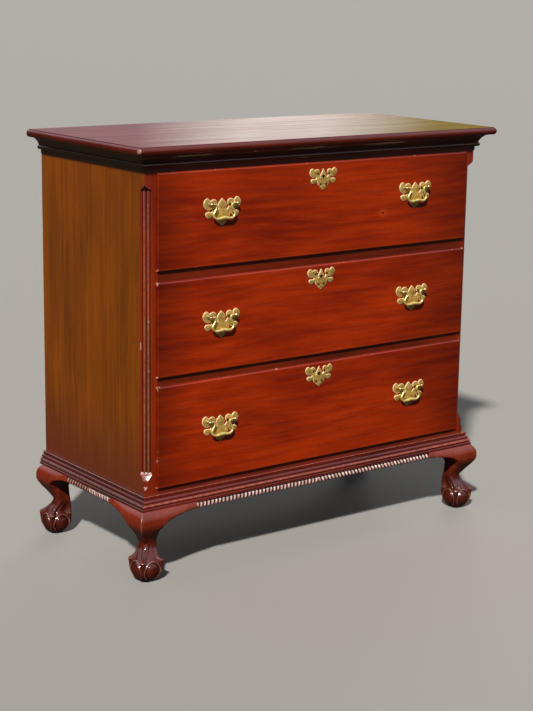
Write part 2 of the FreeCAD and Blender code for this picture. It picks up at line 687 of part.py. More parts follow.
def drawer(name, low, high, pull_down, key_down):
    """A lipped drawer: front, dovetailed sides, back, bottom, lock and brasses."""
    floor = low + LIP + RUN_CLEAR
    roof = high - LIP - TOP_CLEAR
    wide = OPEN_X - SIDE_CLEAR
    y_end = Y_PANEL - DRAWER_SHORT
    lip_x = OPEN_X + LIP
    z_pull = high - pull_down
    z_key = high - key_down
    upright = lip_profile(lambda a, y: V(a, y, low), -lip_x, lip_x).extrude(V(0, 0, high - low))
    level = lip_profile(lambda a, y: V(-lip_x, y, a), low, high).extrude(V(2 * lip_x, 0, 0))
    front = upright.common(level)
    front = front.fuse(box(-wide, wide, Y_LIP, Y_INNER, floor, high - LIP - FRONT_CLEAR))

    tails = []
    count = max(2, int((roof - floor) / TAIL_PITCH))
    pitch = (roof - floor) / count
    for i in range(count):
        z = floor + pitch * (i + 0.5)
        half = TAIL_W / 2
        steps = [(Y_INNER, z + half - TAIL_FLARE), (Y_LIP + TAIL_LAP, z + half), (Y_LIP + TAIL_LAP, z - half)]
        face = outline(lambda y, w: V(wide - DRAWER_SIDE_T, y, w), (Y_INNER, z - half + TAIL_FLARE), steps)
        tails.append(face.extrude(V(DRAWER_SIDE_T, 0, 0)))
    side = box(wide - DRAWER_SIDE_T, wide, Y_INNER, y_end, floor, roof).multiFuse(tails)
    inside = wide - DRAWER_SIDE_T
    z_bottom = floor + DRAWER_BOTTOM_UP
    bottom = box(-inside - DRAWER_GROOVE, inside + DRAWER_GROOVE, Y_INNER - DRAWER_GROOVE, y_end,
                 z_bottom, z_bottom + DRAWER_BOTTOM_T)
    rear = box(-inside, inside, y_end - DRAWER_BACK_T, y_end, z_bottom + DRAWER_BOTTOM_T, roof)
    left_side = mirror_x(side)
    lock_top = high - LIP - FRONT_CLEAR
    lock = box(-LOCK_W / 2, LOCK_W / 2, Y_INNER - LOCK_T, Y_INNER, lock_top - LOCK_H, lock_top)
    key = rod_y(KEY_R, 0, Y_FACE - 2 * PLATE_T, Y_INNER - LOCK_T, z_key)
    slot = box(-KEY_W / 2, KEY_W / 2, Y_FACE - 2 * PLATE_T, Y_INNER - LOCK_T, z_key - KEY_DROP, z_key)
    key = key.fuse(slot)
    front = front.cut(side).cut(left_side).cut(bottom).cut(lock).cut(key)
    side = side.cut(bottom)
    save(name + "_drawer_lock", lock)
    save(name + "_drawer_bottom", bottom)
    save(name + "_drawer_back", rear)
    save(name + "_drawer_sides", group([mirror_x(side), side]))

    badge = plate(ESC_W)
    badge.translate(V(0, Y_FACE, z_key - KEY_UP))
    save(name + "_escutcheon", badge.cut(key))

    plates = []
    posts = []
    for hand in (-1, 1):
        x = hand * PULL_X
        wing = plate(BORE + 2 * PLATE_MARGIN)
        wing.translate(V(x, Y_FACE, z_pull - PLATE_UP))
        for end in (-1, 1):
            px = x + end * BORE / 2
            hole = prism_y(SHANK_R + SHANK_CLEAR, SHANK_SIDES, px, Y_FACE - 2 * PLATE_T, Y_INNER, z_pull)
            wing = wing.cut(hole)
            front = front.cut(hole)
            posts.append(pull_post(px, z_pull, -end))
        plates.append(wing)
    save(name + "_drawer_front", front)
    save(name + "_pull_plates", group(plates))
    save(name + "_pull_posts", group(posts))
    save(name + "_bail_left", bail(-PULL_X, z_pull))
    save(name + "_bail_right", bail(PULL_X, z_pull))


for opening in openings:
    drawer(*opening)

# Glue blocks in the corners of the case, over the inner part of each leg
blocks = []
for y in (Y_RAIL, Y_PANEL - GLUE_BLOCK):
    block = box(SIDE_X - GLUE_BLOCK, SIDE_X, y, y + GLUE_BLOCK, Z_CASE, Z_D3 + LIP - RUNNER_T)
    blocks += [block, mirror_x(block)]
save("glue_blocks", group(blocks))
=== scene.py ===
import bpy
import bmesh
from math import atan2, copysign, cos, exp, hypot, pi, radians, sin, sqrt, tau
from mathutils import Matrix, Vector


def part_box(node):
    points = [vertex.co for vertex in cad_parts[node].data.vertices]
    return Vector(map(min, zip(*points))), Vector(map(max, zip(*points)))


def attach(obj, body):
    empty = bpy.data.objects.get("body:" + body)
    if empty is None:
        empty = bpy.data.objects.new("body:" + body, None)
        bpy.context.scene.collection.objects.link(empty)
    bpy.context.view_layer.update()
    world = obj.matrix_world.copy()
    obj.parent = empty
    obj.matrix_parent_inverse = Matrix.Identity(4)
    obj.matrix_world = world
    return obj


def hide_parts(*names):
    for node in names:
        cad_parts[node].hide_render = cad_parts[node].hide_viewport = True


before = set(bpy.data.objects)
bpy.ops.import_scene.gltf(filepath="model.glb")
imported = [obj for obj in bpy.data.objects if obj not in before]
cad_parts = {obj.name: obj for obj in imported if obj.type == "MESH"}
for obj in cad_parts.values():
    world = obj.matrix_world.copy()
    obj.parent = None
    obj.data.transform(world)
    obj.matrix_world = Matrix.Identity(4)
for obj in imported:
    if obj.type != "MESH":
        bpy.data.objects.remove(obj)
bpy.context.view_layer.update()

# The view and the studio. The chest stands on a plain pale floor and is seen from its front left, from
# a little above. The camera's place, turn and lens were solved from the chest's own edges, and the lamp
# stands high on the left, where the shadows under the drawer lips and the pulls put it.
CAMERA_AT = Vector((-2.1663, -2.8858, 1.2136))
CAMERA_YAW = radians(36.942)
CAMERA_PITCH = radians(-12.988)
CAMERA_ROLL = radians(0.879)
FOCAL_PX = 1663.64
IMAGE_HEIGHT_PX = 711
SENSOR_MM = 36.0
SIGHT_M = 500.0
# A lamp's travel, strength, width in degrees and colour, and whether the polish mirrors it.
LAMPS = {"lamp": ((0.80, 0.76, -1.0), 5.4, 3.0, "#FFFBF5", True),
         "fill lamp": ((-0.70, -0.68, -0.30), 1.5, 30.0, "#FFFFFF", False)}
SKY_STRENGTH = 0.17
MIRROR_STRENGTH = 1.12
BACKDROP_STRENGTH = 0.62
CARD_FROM = radians(32.4)
CARD_FULL = radians(36.0)
CARD_FADE = radians(38.8)
CARD_END = radians(42.6)
CARD_MIDDLE = radians(37.0)
CARD_HALF = radians(12.0)
CARD_EDGE = radians(18.0)
FLOOR_HALF_M = 150.0


def colour(code):
    """The linear colour of an sRGB hex code."""
    parts = [int(code[i:i + 2], 16) / 255 for i in (1, 3, 5)]
    return [c / 12.92 if c <= 0.04045 else ((c + 0.055) / 1.055) ** 2.4 for c in parts] + [1.0]


def add(tree, kind, settings):
    """Adds a node. A setting is a property of the node, a value for a socket, an output linked to it, or a
    node whose first output is linked to it."""
    node = tree.nodes.new(kind if kind.startswith(("Geometry", "NodeGroup")) else "ShaderNode" + kind)
    for key, value in settings.items():
        if isinstance(key, str) and key not in node.inputs:
            setattr(node, key, value)
        elif isinstance(value, bpy.types.Node):
            tree.links.new(value.outputs[0], node.inputs[key])
        elif isinstance(value, bpy.types.NodeSocket):
            tree.links.new(value, node.inputs[key])
        else:
            node.inputs[key].default_value = value
    return node


def toned(tree, tint, value, none_at, most_at, shade, most=1.0):
    """Lays a colour over a tint: none of it at one value, and the most of it at another."""
    amount = add(tree, "MapRange", {"Value": value, "From Min": none_at, "From Max": most_at, "To Max": most})
    return add(tree, "MixRGB", {"Fac": amount, "Color1": tint, "Color2": colour(shade)})


def new_material(name):
    """A material with an empty node tree, and its tree."""
    material = bpy.data.materials.new(name)
    material.use_nodes = True
    material.node_tree.nodes.clear()
    return material, material.node_tree


def placed(name, data):
    """A new object in the scene."""
    thing = bpy.data.objects.new(name, data)
    bpy.context.scene.collection.objects.link(thing)
    return thing


ahead = Vector((sin(CAMERA_YAW) * cos(CAMERA_PITCH), cos(CAMERA_YAW) * cos(CAMERA_PITCH), sin(CAMERA_PITCH)))
level_right = Vector((cos(CAMERA_YAW), -sin(CAMERA_YAW), 0.0))
level_up = level_right.cross(ahead)
right = level_right * cos(CAMERA_ROLL) + level_up * sin(CAMERA_ROLL)
up = level_up * cos(CAMERA_ROLL) - level_right * sin(CAMERA_ROLL)
camera = placed("camera", bpy.data.cameras.new("camera"))
camera.data.sensor_fit = "VERTICAL"
camera.data.sensor_height = SENSOR_MM
camera.data.lens = FOCAL_PX / IMAGE_HEIGHT_PX * SENSOR_MM
camera.data.clip_end = SIGHT_M
camera.matrix_world = Matrix.Translation(CAMERA_AT) @ Matrix((right, up, -ahead)).transposed().to_4x4()
bpy.context.scene.camera = camera
bpy.context.scene.view_settings.view_transform = "Standard"

for name, (travel, strength, width, tint, glints) in LAMPS.items():
    lamp = placed(name, bpy.data.lights.new(name, "SUN"))
    lamp.data.energy = strength
    lamp.data.angle = radians(width)
    lamp.data.color = colour(tint)[:3]
    lamp.rotation_euler = Vector(travel).to_track_quat("-Z", "Y").to_euler()
    lamp.visible_glossy = glints

# What the polish mirrors: an open sky overhead, dark walls round the studio, and behind the chest on the
# right a pale card that greys into shade at its far end.
world = bpy.data.worlds.new("studio")
world.use_nodes = True
tree = world.node_tree
tree.nodes.clear()
path = add(tree, "LightPath", {}).outputs
away = add(tree, "SeparateXYZ", {"Vector": add(tree, "TexCoord", {}).outputs["Generated"]}).outputs
heading = add(tree, "Math", {"operation": "ARCTAN2", 0: away["X"], 1: away["Y"]})
card = toned(tree, colour("#9A8286"), heading, CARD_FROM, CARD_FULL, "#FFF8EE")
card = toned(tree, card, heading, CARD_FADE, CARD_END, "#908C40")
beside = add(tree, "Math", {"operation": "SUBTRACT", 0: heading, 1: CARD_MIDDLE})
beside = add(tree, "Math", {"operation": "ABSOLUTE", 0: beside})
past = add(tree, "MapRange", {"Value": beside, "From Min": CARD_HALF, "From Max": CARD_EDGE})
round_about = toned(tree, colour("#26261E"), away["Y"], 0.1, -0.2, "#B6B0AA")
walls = add(tree, "MixRGB", {"Fac": past, "Color1": card, "Color2": round_about})
mirrored = toned(tree, walls, away["Z"], 0.22, 0.45, "#E4EDFF")
shown = add(tree, "MixRGB", {"Fac": path["Is Glossy Ray"], "Color1": colour("#E6EBF4"), "Color2": mirrored})
level = SKY_STRENGTH
for ray, strength in (("Is Glossy Ray", MIRROR_STRENGTH), ("Is Camera Ray", BACKDROP_STRENGTH)):
    level = add(tree, "MapRange", {"Value": path[ray], "To Min": level, "To Max": strength})
sky = add(tree, "Background", {"Color": shown, "Strength": level})
add(tree, "OutputWorld", {"Surface": sky})
bpy.context.scene.world = world

# The floor: a flat matt grey, because rolled paint mirrors nothing.
floor_mesh = bpy.data.meshes.new("floor")
corners = [(x * FLOOR_HALF_M, y * FLOOR_HALF_M, 0.0) for x, y in ((-1, -1), (1, -1), (1, 1), (-1, 1))]
floor_mesh.from_pydata(corners, [], [(0, 1, 2, 3)])
floor_paint, tree = new_material("pale floor paint")
seen = add(tree, "LightPath", {}).outputs["Is Camera Ray"]
tone = add(tree, "MixRGB", {"Fac": seen, "Color1": colour("#2E2C28"), "Color2": colour("#94928E")})
paint = add(tree, "BsdfPrincipled", {"Base Color": tone, "Roughness": 0.9, "Specular IOR Level": 0.1})
add(tree, "OutputMaterial", {"Surface": paint})
floor_mesh.materials.append(floor_paint)
placed("floor", floor_mesh)

# The case: solid mahogany sides with upright grain, rails and blades with level grain between the
# corner posts, a plain back, and web frames with dust panels inside. All are joined and glued boards, and
# the CAD solids have their shape already.
SEED_SHIFT = Vector((1.37, 2.11, 0.73))
WAVE_M = 0.03
SIDE_DARK = "#643002"
SIDE_LIGHT = "#884402"
SIDE_RED = "#5E2618"
SIDE_FOOT_M = 0.19
SIDE_RED_M = 0.34


def streaks(tree, grain, length_mm, width_mm, detail):
    """A noise drawn out along the grain to marks of about that length and width."""
    per_m = (1000 / length_mm, 1000 / width_mm, 1000 / width_mm)
    stretched = add(tree, "Mapping", {"Vector": grain, "Scale": per_m})
    return add(tree, "TexNoise", {"Vector": stretched, "Scale": 1.0, "Detail": detail, "Roughness": 0.55})


def grain_space(tree, along, seed):
    """Object coordinates turned so that the grain runs along the first axis, waved a little, with a shift."""
    here = add(tree, "TexCoord", {}).outputs["Object"]
    shifted = add(tree, "Mapping", {"Vector": here, "Location": seed * SEED_SHIFT})
    split = add(tree, "SeparateXYZ", {"Vector": shifted}).outputs
    first = "XYZ".index(along)
    turned_to = add(tree, "CombineXYZ", {i: split[(first + i) % 3] for i in range(3)})
    wave = streaks(tree, turned_to, 420, 130, 2.0)
    lift = add(tree, "Math", {"operation": "MULTIPLY", 0: wave, 1: WAVE_M})
    bend = add(tree, "CombineXYZ", {1: lift, 2: lift})
    return add(tree, "VectorMath", {"operation": "ADD", 0: turned_to, 1: bend})


def figured(tree, along, dark, light, seed, figure_mm):
    """Mahogany's figure: soft clouds and wisps along the grain, finer streaks, and the darker short pores.
    The real pores are 0.2 mm wide and are drawn coarser to show."""
    grain = grain_space(tree, along, seed)
    cloud = streaks(tree, grain, 300, 95, 2.0)
    wisps = streaks(tree, grain, *figure_mm, 5.0)
    both = add(tree, "Math", {"operation": "ADD", 0: cloud, 1: wisps})
    body = toned(tree, colour(dark), both, 0.70, 1.30, light)
    fine = streaks(tree, grain, 130, 2.6, 4.0)
    shade = add(tree, "MapRange", {
        "Value": fine, "From Min": 0.3, "From Max": 0.7, "To Min": 0.84, "To Max": 1.14})
    pore = streaks(tree, grain, 22, 1.2, 2.0)
    pitted = add(tree, "MapRange", {
        "Value": pore, "From Min": 0.60, "From Max": 0.74, "To Min": 1.0, "To Max": 0.66})
    depth = add(tree, "Math", {"operation": "MULTIPLY", 0: shade, 1: pitted})
    tint = add(tree, "MixRGB", {"blend_type": "MULTIPLY", "Fac": 1.0, "Color1": body, "Color2": depth})
    return tint, fine, pitted


def carving_shade_wear_highlight(tree, tint, edge_wear_highlight_colour):
    """Darkens the hollows of carving, in part as painted shade, and makes its edges pale in places, partly as
    rubbing wear and partly as painted highlight. A carved piece keeps that on its points: 1 in a hollow, -1 on
    an edge. It is 0 on a piece that has none."""
    cut = add(tree, "Attribute", {"attribute_name": "carving"}).outputs["Fac"]
    # The hollows are darkened, in part as painted shade.
    tint = toned(tree, tint, cut, 0.0, 1.0, "#160403")
    here = add(tree, "TexCoord", {}).outputs["Object"]
    patches = add(tree, "TexNoise", {"Vector": here, "Scale": 1000 / 9, "Detail": 3.0})
    kept = add(tree, "MapRange", {"Value": patches, "From Min": 0.40, "From Max": 0.62, "To Min": 0.4})
    # Edges are made pale: partly rubbing wear, partly painted highlight.
    edge = add(tree, "MapRange", {"Value": cut, "From Max": -1.0})
    pale_wear_highlight = add(tree, "Math", {"operation": "MULTIPLY", 0: edge, 1: kept})
    return add(tree, "MixRGB", {"Fac": pale_wear_highlight, "Color1": tint, "Color2": colour(edge_wear_highlight_colour)})


def polished(tree, tint, fine, pitted, shine, film=1.0):
    """French polish over the wood: a thin clear coat that mirrors sharply, dulled a little by handling. Where
    the film is thin it mirrors less."""
    dull = add(tree, "MapRange", {
        "Value": fine, "From Min": 0.3, "From Max": 0.7, "To Min": 0.42, "To Max": 0.55})
    dents = add(tree, "Bump", {"Height": pitted, "Strength": 0.10, "Distance": 0.0004})
    wood = add(tree, "BsdfPrincipled", {"Base Color": tint, "Roughness": dull, "Normal": dents,
                                        "Specular IOR Level": 0.05, "Coat Weight": film, "Coat IOR": 1.5,
                                        "Coat Roughness": shine})
    add(tree, "OutputMaterial", {"Surface": wood})


def mahogany(name, along, dark, light, seed, figure_mm=(140, 12), shine=0.08, thinnest=1.0,
             edge_wear_highlight_colour="#B08A7A"):
    """French-polished mahogany: a deep red-brown that varies in wisps along the grain, under a hard shine.
    Carving is polished by brush, so it shines more softly. On a worn board the film is thin in streaks."""
    material, tree = new_material(name)
    tint, fine, pitted = figured(tree, along, dark, light, seed, figure_mm)
    film = 1.0
    if thinnest < 1.0:
        worn_film = streaks(tree, grain_space(tree, along, seed), 420, 7, 4.0)
        film = add(tree, "MapRange", {
            "Value": worn_film, "From Min": 0.36, "From Max": 0.62, "To Min": thinnest})
    polished(tree, carving_shade_wear_highlight(tree, tint, edge_wear_highlight_colour), fine, pitted, shine, film)
    return material


def height_in(tree):
    """The height above the floor."""
    return add(tree, "SeparateXYZ", {"Vector": add(tree, "TexCoord", {}).outputs["Object"]}).outputs["Z"]


def side_wood(name, seed):
    """A wide board with upright grain: its old stain has gone olive brown, and is red near the floor."""
    material, tree = new_material(name)
    tint, fine, pitted = figured(tree, "Z", SIDE_DARK, SIDE_LIGHT, seed, (900, 9))
    tint = toned(tree, tint, height_in(tree), SIDE_RED_M, SIDE_FOOT_M, SIDE_RED, 0.8)
    polished(tree, tint, fine, pitted, 0.08)
    return material


def poplar(name, along, seed):
    """Planed poplar, darkened by age and never polished: a dull tan with soft streaks and no shine."""
    material, tree = new_material(name)
    grain = grain_space(tree, along, seed)
    tone = add(tree, "MixRGB", {
        "Fac": streaks(tree, grain, 700, 14, 4.0), "Color1": colour("#8A6438"), "Color2": colour("#C29A62")})
    fine = streaks(tree, grain, 90, 1.6, 3.0)
    dents = add(tree, "Bump", {"Height": fine, "Strength": 0.15, "Distance": 0.0004})
    wood = add(tree, "BsdfPrincipled", {"Base Color": tone, "Roughness": 0.72, "Normal": dents})
    add(tree, "OutputMaterial", {"Surface": wood})
    return material


def finish_nodes(material, *names):
    """Gives CAD nodes their material."""
    for name in names:
        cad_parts[name].data.materials[0] = material


side_left_wood = side_wood("mahogany polished side left", 1.0)
finish_nodes(side_left_wood, "side_left")
finish_nodes(side_wood("mahogany polished side right", 2.0), "side_right")
# The rails and blades are given darker wood than the fronts, as painted shade under the drawer lips.
rail_wood_shade = mahogany("mahogany polished rail painted shade", "X", "#4A1204", "#6E2006", 3.0)
finish_nodes(rail_wood_shade, "top_rail_front", "drawer_blade_upper", "drawer_blade_lower", "bottom_rail")
finish_nodes(poplar("poplar planed along", "X", 4.0), "dust_panels", "frame_back_rails")
finish_nodes(poplar("poplar planed across", "Y", 5.0), "kickers", "drawer_runners", "drawer_guides",
             "glue_blocks")
finish_nodes(poplar("poplar planed back", "Z", 6.0), "back_panel")

# The corner posts: one mahogany upright each side, planed to a broad chamfer with three hollow flutes, and
# carved at both ends to a lamb's tongue that brings the chamfer back to the square corner.
MM = 0.001
CHAMFER_LEG = 17.0
NECK_LEG = 6.0
FLUTES = 3
FLUTE_PITCH = 8.0
FLUTE_WIDE = 6.6
FLUTE_DEEP = 2.3
FOOT_TIP = 190.5
FOOT_TIP_TOP = 199.0
FOOT_NECK_TOP = 211.0
FOOT_STOP_TOP = 223.5
FOOT_SLOPE = 0.62
HEAD_STOP_LOW = 798.0
HEAD_TIP = 811.0
HEAD_HOLLOW = 1.8
HEAD_SLOPE = 1.7
STOP_BOW = 0.5
BOW_EASE = 3.0
# The flute bottoms are darkened. The ridges between the flutes and the edges of the head stop are made pale as
# a painted highlight, and the head stop's downward slope is darkened as painted shade.
FLUTE_DARK = 0.8
RIDGE_HIGHLIGHT = -0.45
HEAD_SHADE = 0.8
POST_STEPS = 64
STOP_STEP = 0.5
PLAIN_HEIGHTS = [240.0, 500.0, 780.0, 793.0]
# A chip's place across and up the chamfer, and its half sizes.
POST_CHIPS = ((-4.0, 537.0, 1.7, 1.9), (-4.0, 437.0, 1.5, 1.7), (11.4, 487.0, 0.9, 9.0))
CHIP_DEEP = 0.3
ARRIS = 0.7
POST_SQUARE = 0.99
MERGE_M = 0.00002
SHARP = radians(38)


def share(low, high, value):
    """How far a value has come from low to high, from 0 to 1."""
    return min(max((value - low) / (high - low), 0.0), 1.0)


def ease(low, high, value):
    """0 up to low, 1 from high, and a smooth rise between."""
    t = share(low, high, value)
    return t * t * (3 - 2 * t)


def corners_mm(name):
    """A CAD node's lowest and highest corner in millimetres."""
    low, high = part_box(name)
    return low / MM, high / MM


def lofted(rings):
    """Points and faces of a closed body through rings of the same count, with a flat cap at both ends."""
    count = len(rings[0])
    points = [p for ring in rings for p in ring]
    steps = [(i, (i + 1) % count) for i in range(count)]
    faces = [(r * count + i, r * count + j, (r + 1) * count + j, (r + 1) * count + i)
             for r in range(len(rings) - 1) for i, j in steps]
    last = (len(rings) - 1) * count
    return points, faces + [tuple(range(count)), tuple(range(last, last + count))]


def joined(*bodies):
    """Several sets of points and faces as one."""
    points, faces = [], []
    for more, theirs in bodies:
        faces += [tuple(i + len(points) for i in f) for f in theirs]
        points += more
    return points, faces


def ride_as(name, mesh, material, sharp, body, stands_for):
    """A mesh as a finished piece that rides on a body in the place of a CAD node."""
    mesh.shade_smooth()
    mesh.set_sharp_from_angle(angle=sharp)
    mesh.materials.append(material)
    piece = placed(name, mesh)
    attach(piece, body)
    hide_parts(stands_for)
    return piece


def add_piece(name, body_mesh, material, body, stands_for):
    """A piece from points in millimetres and their faces. A point's fourth number, if any, is its carving: 1
    in a hollow, -1 on an edge."""
    points, faces = body_mesh
    mesh = bpy.data.meshes.new(name)
    mesh.from_pydata([Vector(p[:3]) * MM for p in points], [], faces)
    if len(points[0]) > 3:
        mesh.attributes.new("carving", "FLOAT", "POINT").data.foreach_set("value", [p[3] for p in points])
    work = bmesh.new()
    work.from_mesh(mesh)
    bmesh.ops.remove_doubles(work, verts=work.verts, dist=MERGE_M)
    bmesh.ops.recalc_face_normals(work, faces=work.faces)
    work.to_mesh(mesh)
    work.free()
    return ride_as(name, mesh, material, SHARP, body, stands_for)


def chamfer_at(z):
    """How far the chamfer is cut back along each face at a height: at the foot two straight slopes with a
    neck between, at the head one hollow slope to a point."""
    foot = NECK_LEG * share(FOOT_TIP, FOOT_TIP_TOP, z)
    foot += (CHAMFER_LEG - NECK_LEG) * share(FOOT_NECK_TOP, FOOT_STOP_TOP, z)
    head = CHAMFER_LEG * (1 - share(HEAD_STOP_LOW, HEAD_TIP, z)) ** HEAD_HOLLOW
    return max(min(foot, head), ARRIS)


def flute_at(across, z):
    """How deep the flutes are cut at a distance across the chamfer. They run out into both stops."""
    room = max(min((z - FOOT_STOP_TOP) * FOOT_SLOPE, (HEAD_STOP_LOW - z) * HEAD_SLOPE), 0.0)
    nearest = min(max(round(across / FLUTE_PITCH), -(FLUTES // 2)), FLUTES // 2) * FLUTE_PITCH
    side = min(abs(across - nearest) / (FLUTE_WIDE / 2), 1.0)
    return min(FLUTE_DEEP * sqrt(1 - side * side), room)


def corner_post(hand, chips):
    """A post as rings up its height, close together at both stops and at its chips: hand is -1 on the left
    and 1 on the right."""
    low, high = corners_mm("corner_post_right")
    half = CHAMFER_LEG / sqrt(2)
    heights = [low.z, FOOT_TIP - 1] + [FOOT_TIP + STOP_STEP * i for i in range(80)] + PLAIN_HEIGHTS
    heights += [HEAD_STOP_LOW - 4 + STOP_STEP * i for i in range(36)] + [HEAD_TIP + 3, high.z]
    heights += [z + tall * i / 6 for _, z, _, tall in chips for i in range(-7, 8)]
    rings = []
    for z in sorted(heights):
        leg = chamfer_at(z)
        ring = [(high.x, high.y, z, 0.0), (low.x, high.y, z, 0.0), (low.x, low.y, z, 0.0),
                (high.x - leg - 1, low.y, z, 0.0)]
        bow = STOP_BOW * ease(FOOT_NECK_TOP, FOOT_NECK_TOP + BOW_EASE, z)
        bow *= 1 - ease(FOOT_STOP_TOP - BOW_EASE, FOOT_STOP_TOP, z)
        for i in range(POST_STEPS + 1):
            part = 2 * i / POST_STEPS - 1
            across = part * half
            flute = flute_at(across, z)
            mark = FLUTE_DARK * ease(FLUTE_DEEP * 0.8, FLUTE_DEEP, flute)
            # Ridges are painted pale as a highlight, and the head stop's slope painted dark as shade.
            if flute < 0.2 and FOOT_STOP_TOP < z < HEAD_STOP_LOW and abs(across) < FLUTE_PITCH:
                mark = RIDGE_HIGHLIGHT
            if HEAD_STOP_LOW < z < HEAD_TIP:
                mark = HEAD_SHADE if abs(part) < 0.9 else RIDGE_HIGHLIGHT
            for chip_across, chip_z, wide, tall in chips:
                if hypot((across - chip_across) / wide, (z - chip_z) / tall) < 1:
                    flute, mark = flute + CHIP_DEEP, -1.0
            back = leg / 2 + (flute - bow * (1 - part * part)) / sqrt(2)
            ring.append((high.x - back + part * leg / 2, low.y + back + part * leg / 2, z, mark))
        ring.append((high.x, low.y + leg + 1, z, 0.0))
        rings.append([(hand * x, y, z, mark) for x, y, z, mark in ring])
    return lofted(rings)


def second_finish(piece, material, axis, level, level_slot):
    """Gives a piece a second material: faces square to an axis have one slot, and the rest have the other."""
    piece.data.materials.append(material)
    for face in piece.data.polygons:
        face.material_index = level_slot if abs(face.normal[axis]) > level else 1 - level_slot


post_wood = mahogany("mahogany polished post", "Z", "#5E1406", "#8E2A06", 7.0, (400, 7), 0.25)
for name, hand, chips in (("left", -1, POST_CHIPS), ("right", 1, POST_CHIPS[:1])):
    post = add_piece("post_" + name + "_carved", corner_post(hand, chips), post_wood, "case",
                     "corner_post_" + name)
    second_finish(post, side_left_wood, 0, POST_SQUARE, 1)

# The top: one wide mahogany board, its edge worked to a full round with a fine quirk above it on the front
# and both sides. Under it runs a cornice of a cove, a bead and a plain fascia, mitred at the front corners.
TOP_INLAND = 150.0
QUIRK_IN = 5.2
QUIRK_DEEP = 1.4
QUIRK_DARK = 0.7
NOSE_UNDER = 4.0
NOSE_STEPS = 14
TOP_LEVEL = 0.98
KNOCK_IN = Vector((2.0, 2.0, -7.0))
KNOCK_SIZE = (6.0, 6.0, 5.0)
COVE_STEPS = 10
HOLLOW_MARK = 0.95
EDGE_MARK = -0.2
MARK_WIDE = 0.9
MARK_TURN = 0.45
MARK_MOST = 0.35


def arc(start, through, end, steps):
    """Points of the arc from start to end that passes through a third point, without the start."""
    (ax, ay), (bx, by), (cx, cy) = start, through, end
    a, b, c = (x * x + y * y for x, y in (start, through, end))
    d = 2 * (ax * (by - cy) + bx * (cy - ay) + cx * (ay - by))
    ox = (a * (by - cy) + b * (cy - ay) + c * (ay - by)) / d
    oy = (a * (cx - bx) + b * (ax - cx) + c * (bx - ax)) / d
    radius = hypot(ax - ox, ay - oy)
    a0, a1, a2 = (atan2(y - oy, x - ox) for x, y in (start, through, end))
    turn = (a2 - a0) % tau
    if (a1 - a0) % tau > turn:
        turn -= tau
    return [(ox + radius * cos(a0 + turn * i / steps), oy + radius * sin(a0 + turn * i / steps))
            for i in range(1, steps + 1)]


case_low, case_high = corners_mm("side_left")[0], corners_mm("side_right")[1]
post_front = corners_mm("corner_post_left")[0].y
board_low, board_high = corners_mm("top_board")


def marked(outline):
    """The outline of a moulding with its carving: its quirks are hollows and its square corners are edges.
    Each mark is kept to a narrow line by a plain point on both sides of it."""
    count = len(outline)
    ring = [Vector(p) for p in outline]
    area = sum(ring[i - 1].cross(ring[i]) for i in range(count))
    points = []
    for i, here in enumerate(ring):
        before, after = ring[i - 1] - here, ring[(i + 1) % count] - here
        turn = copysign(1.0, area) * after.cross(before) / (before.length * after.length)
        if abs(turn) < MARK_TURN:
            points.append((*here, 0.0))
            continue
        beside = [(*(here + way * min(MARK_WIDE / way.length, MARK_MOST)), 0.0) for way in (before, after)]
        points += [beside[0], (*here, EDGE_MARK if turn > 0 else HOLLOW_MARK), beside[1]]
    return points


def mitre_station(number, out, z, mark):
    """A moulding's point out from the case, at its back left, front left, front right or back right."""
    x = (case_low.x - out) if number < 2 else (case_high.x + out)
    return (x, post_front - out if number in (1, 2) else case_high.y, z, mark)


def moulding_run(outline, first, pale_wear_highlight=()):
    """One length of moulding from its outline of outset and height, between two neighbouring stations. It is
    made pale between each pair of heights, partly as rubbing wear and partly as painted highlight, by as much
    as the third number says."""
    points = marked(outline)
    for low, high, pale in pale_wear_highlight:
        points = [(out, z, -pale if low < z < high and mark <= 0 and out > 0 else mark)
                  for out, z, mark in points]
    return lofted([[mitre_station(s, *point) for point in points] for s in (first, first + 1)])


def spot_reach(tree, at_mm, size_mm):
    """How far a point lies from the middle of a spot: 1 is the spot's own edge."""
    here = add(tree, "TexCoord", {}).outputs["Object"]
    scaled = add(tree, "Mapping", {"vector_type": "TEXTURE", "Vector": here, "Location": Vector(at_mm) * MM,
                                   "Scale": Vector(size_mm) * MM})
    return add(tree, "VectorMath", {"operation": "LENGTH", 0: scaled}).outputs["Value"]


edge = board_high.x - case_high.x
quirk = edge - QUIRK_IN
quirk_floor = board_high.z - QUIRK_DEEP
nose = [(-TOP_INLAND, board_high.z, 0.0), (quirk - 0.5, board_high.z, 0.0), (quirk, board_high.z, QUIRK_DARK),
        (quirk + 0.2, quirk_floor, QUIRK_DARK), (quirk + 1.6, quirk_floor, QUIRK_DARK)]
nose_round = arc(nose[-1][:2], (edge, (board_high.z + board_low.z) / 2), (edge - NOSE_UNDER, board_low.z),
                 NOSE_STEPS)
nose += [(*point, 0.0) for point in nose_round] + [(-TOP_INLAND, board_low.z, 0.0)]
top_points = [mitre_station(s, *point) for s in range(4) for point in nose]
count = len(nose)
top_faces = [(s * count + i, s * count + i + 1, (s + 1) * count + i + 1, (s + 1) * count + i)
             for s in range(3) for i in range(count - 1)]
top_faces += [tuple(s * count for s in range(4)), tuple(s * count + count - 1 for s in range(4))]
top_faces.append(tuple(range(count)) + tuple(3 * count + i for i in reversed(range(count))))
top_wood = mahogany("mahogany polished top", "X", "#4A1410", "#6E2014", 8.0, (400, 20), 0.08, 0.60)
top_board = add_piece("top_board_moulded", (top_points, top_faces), top_wood, "case", "top_board")
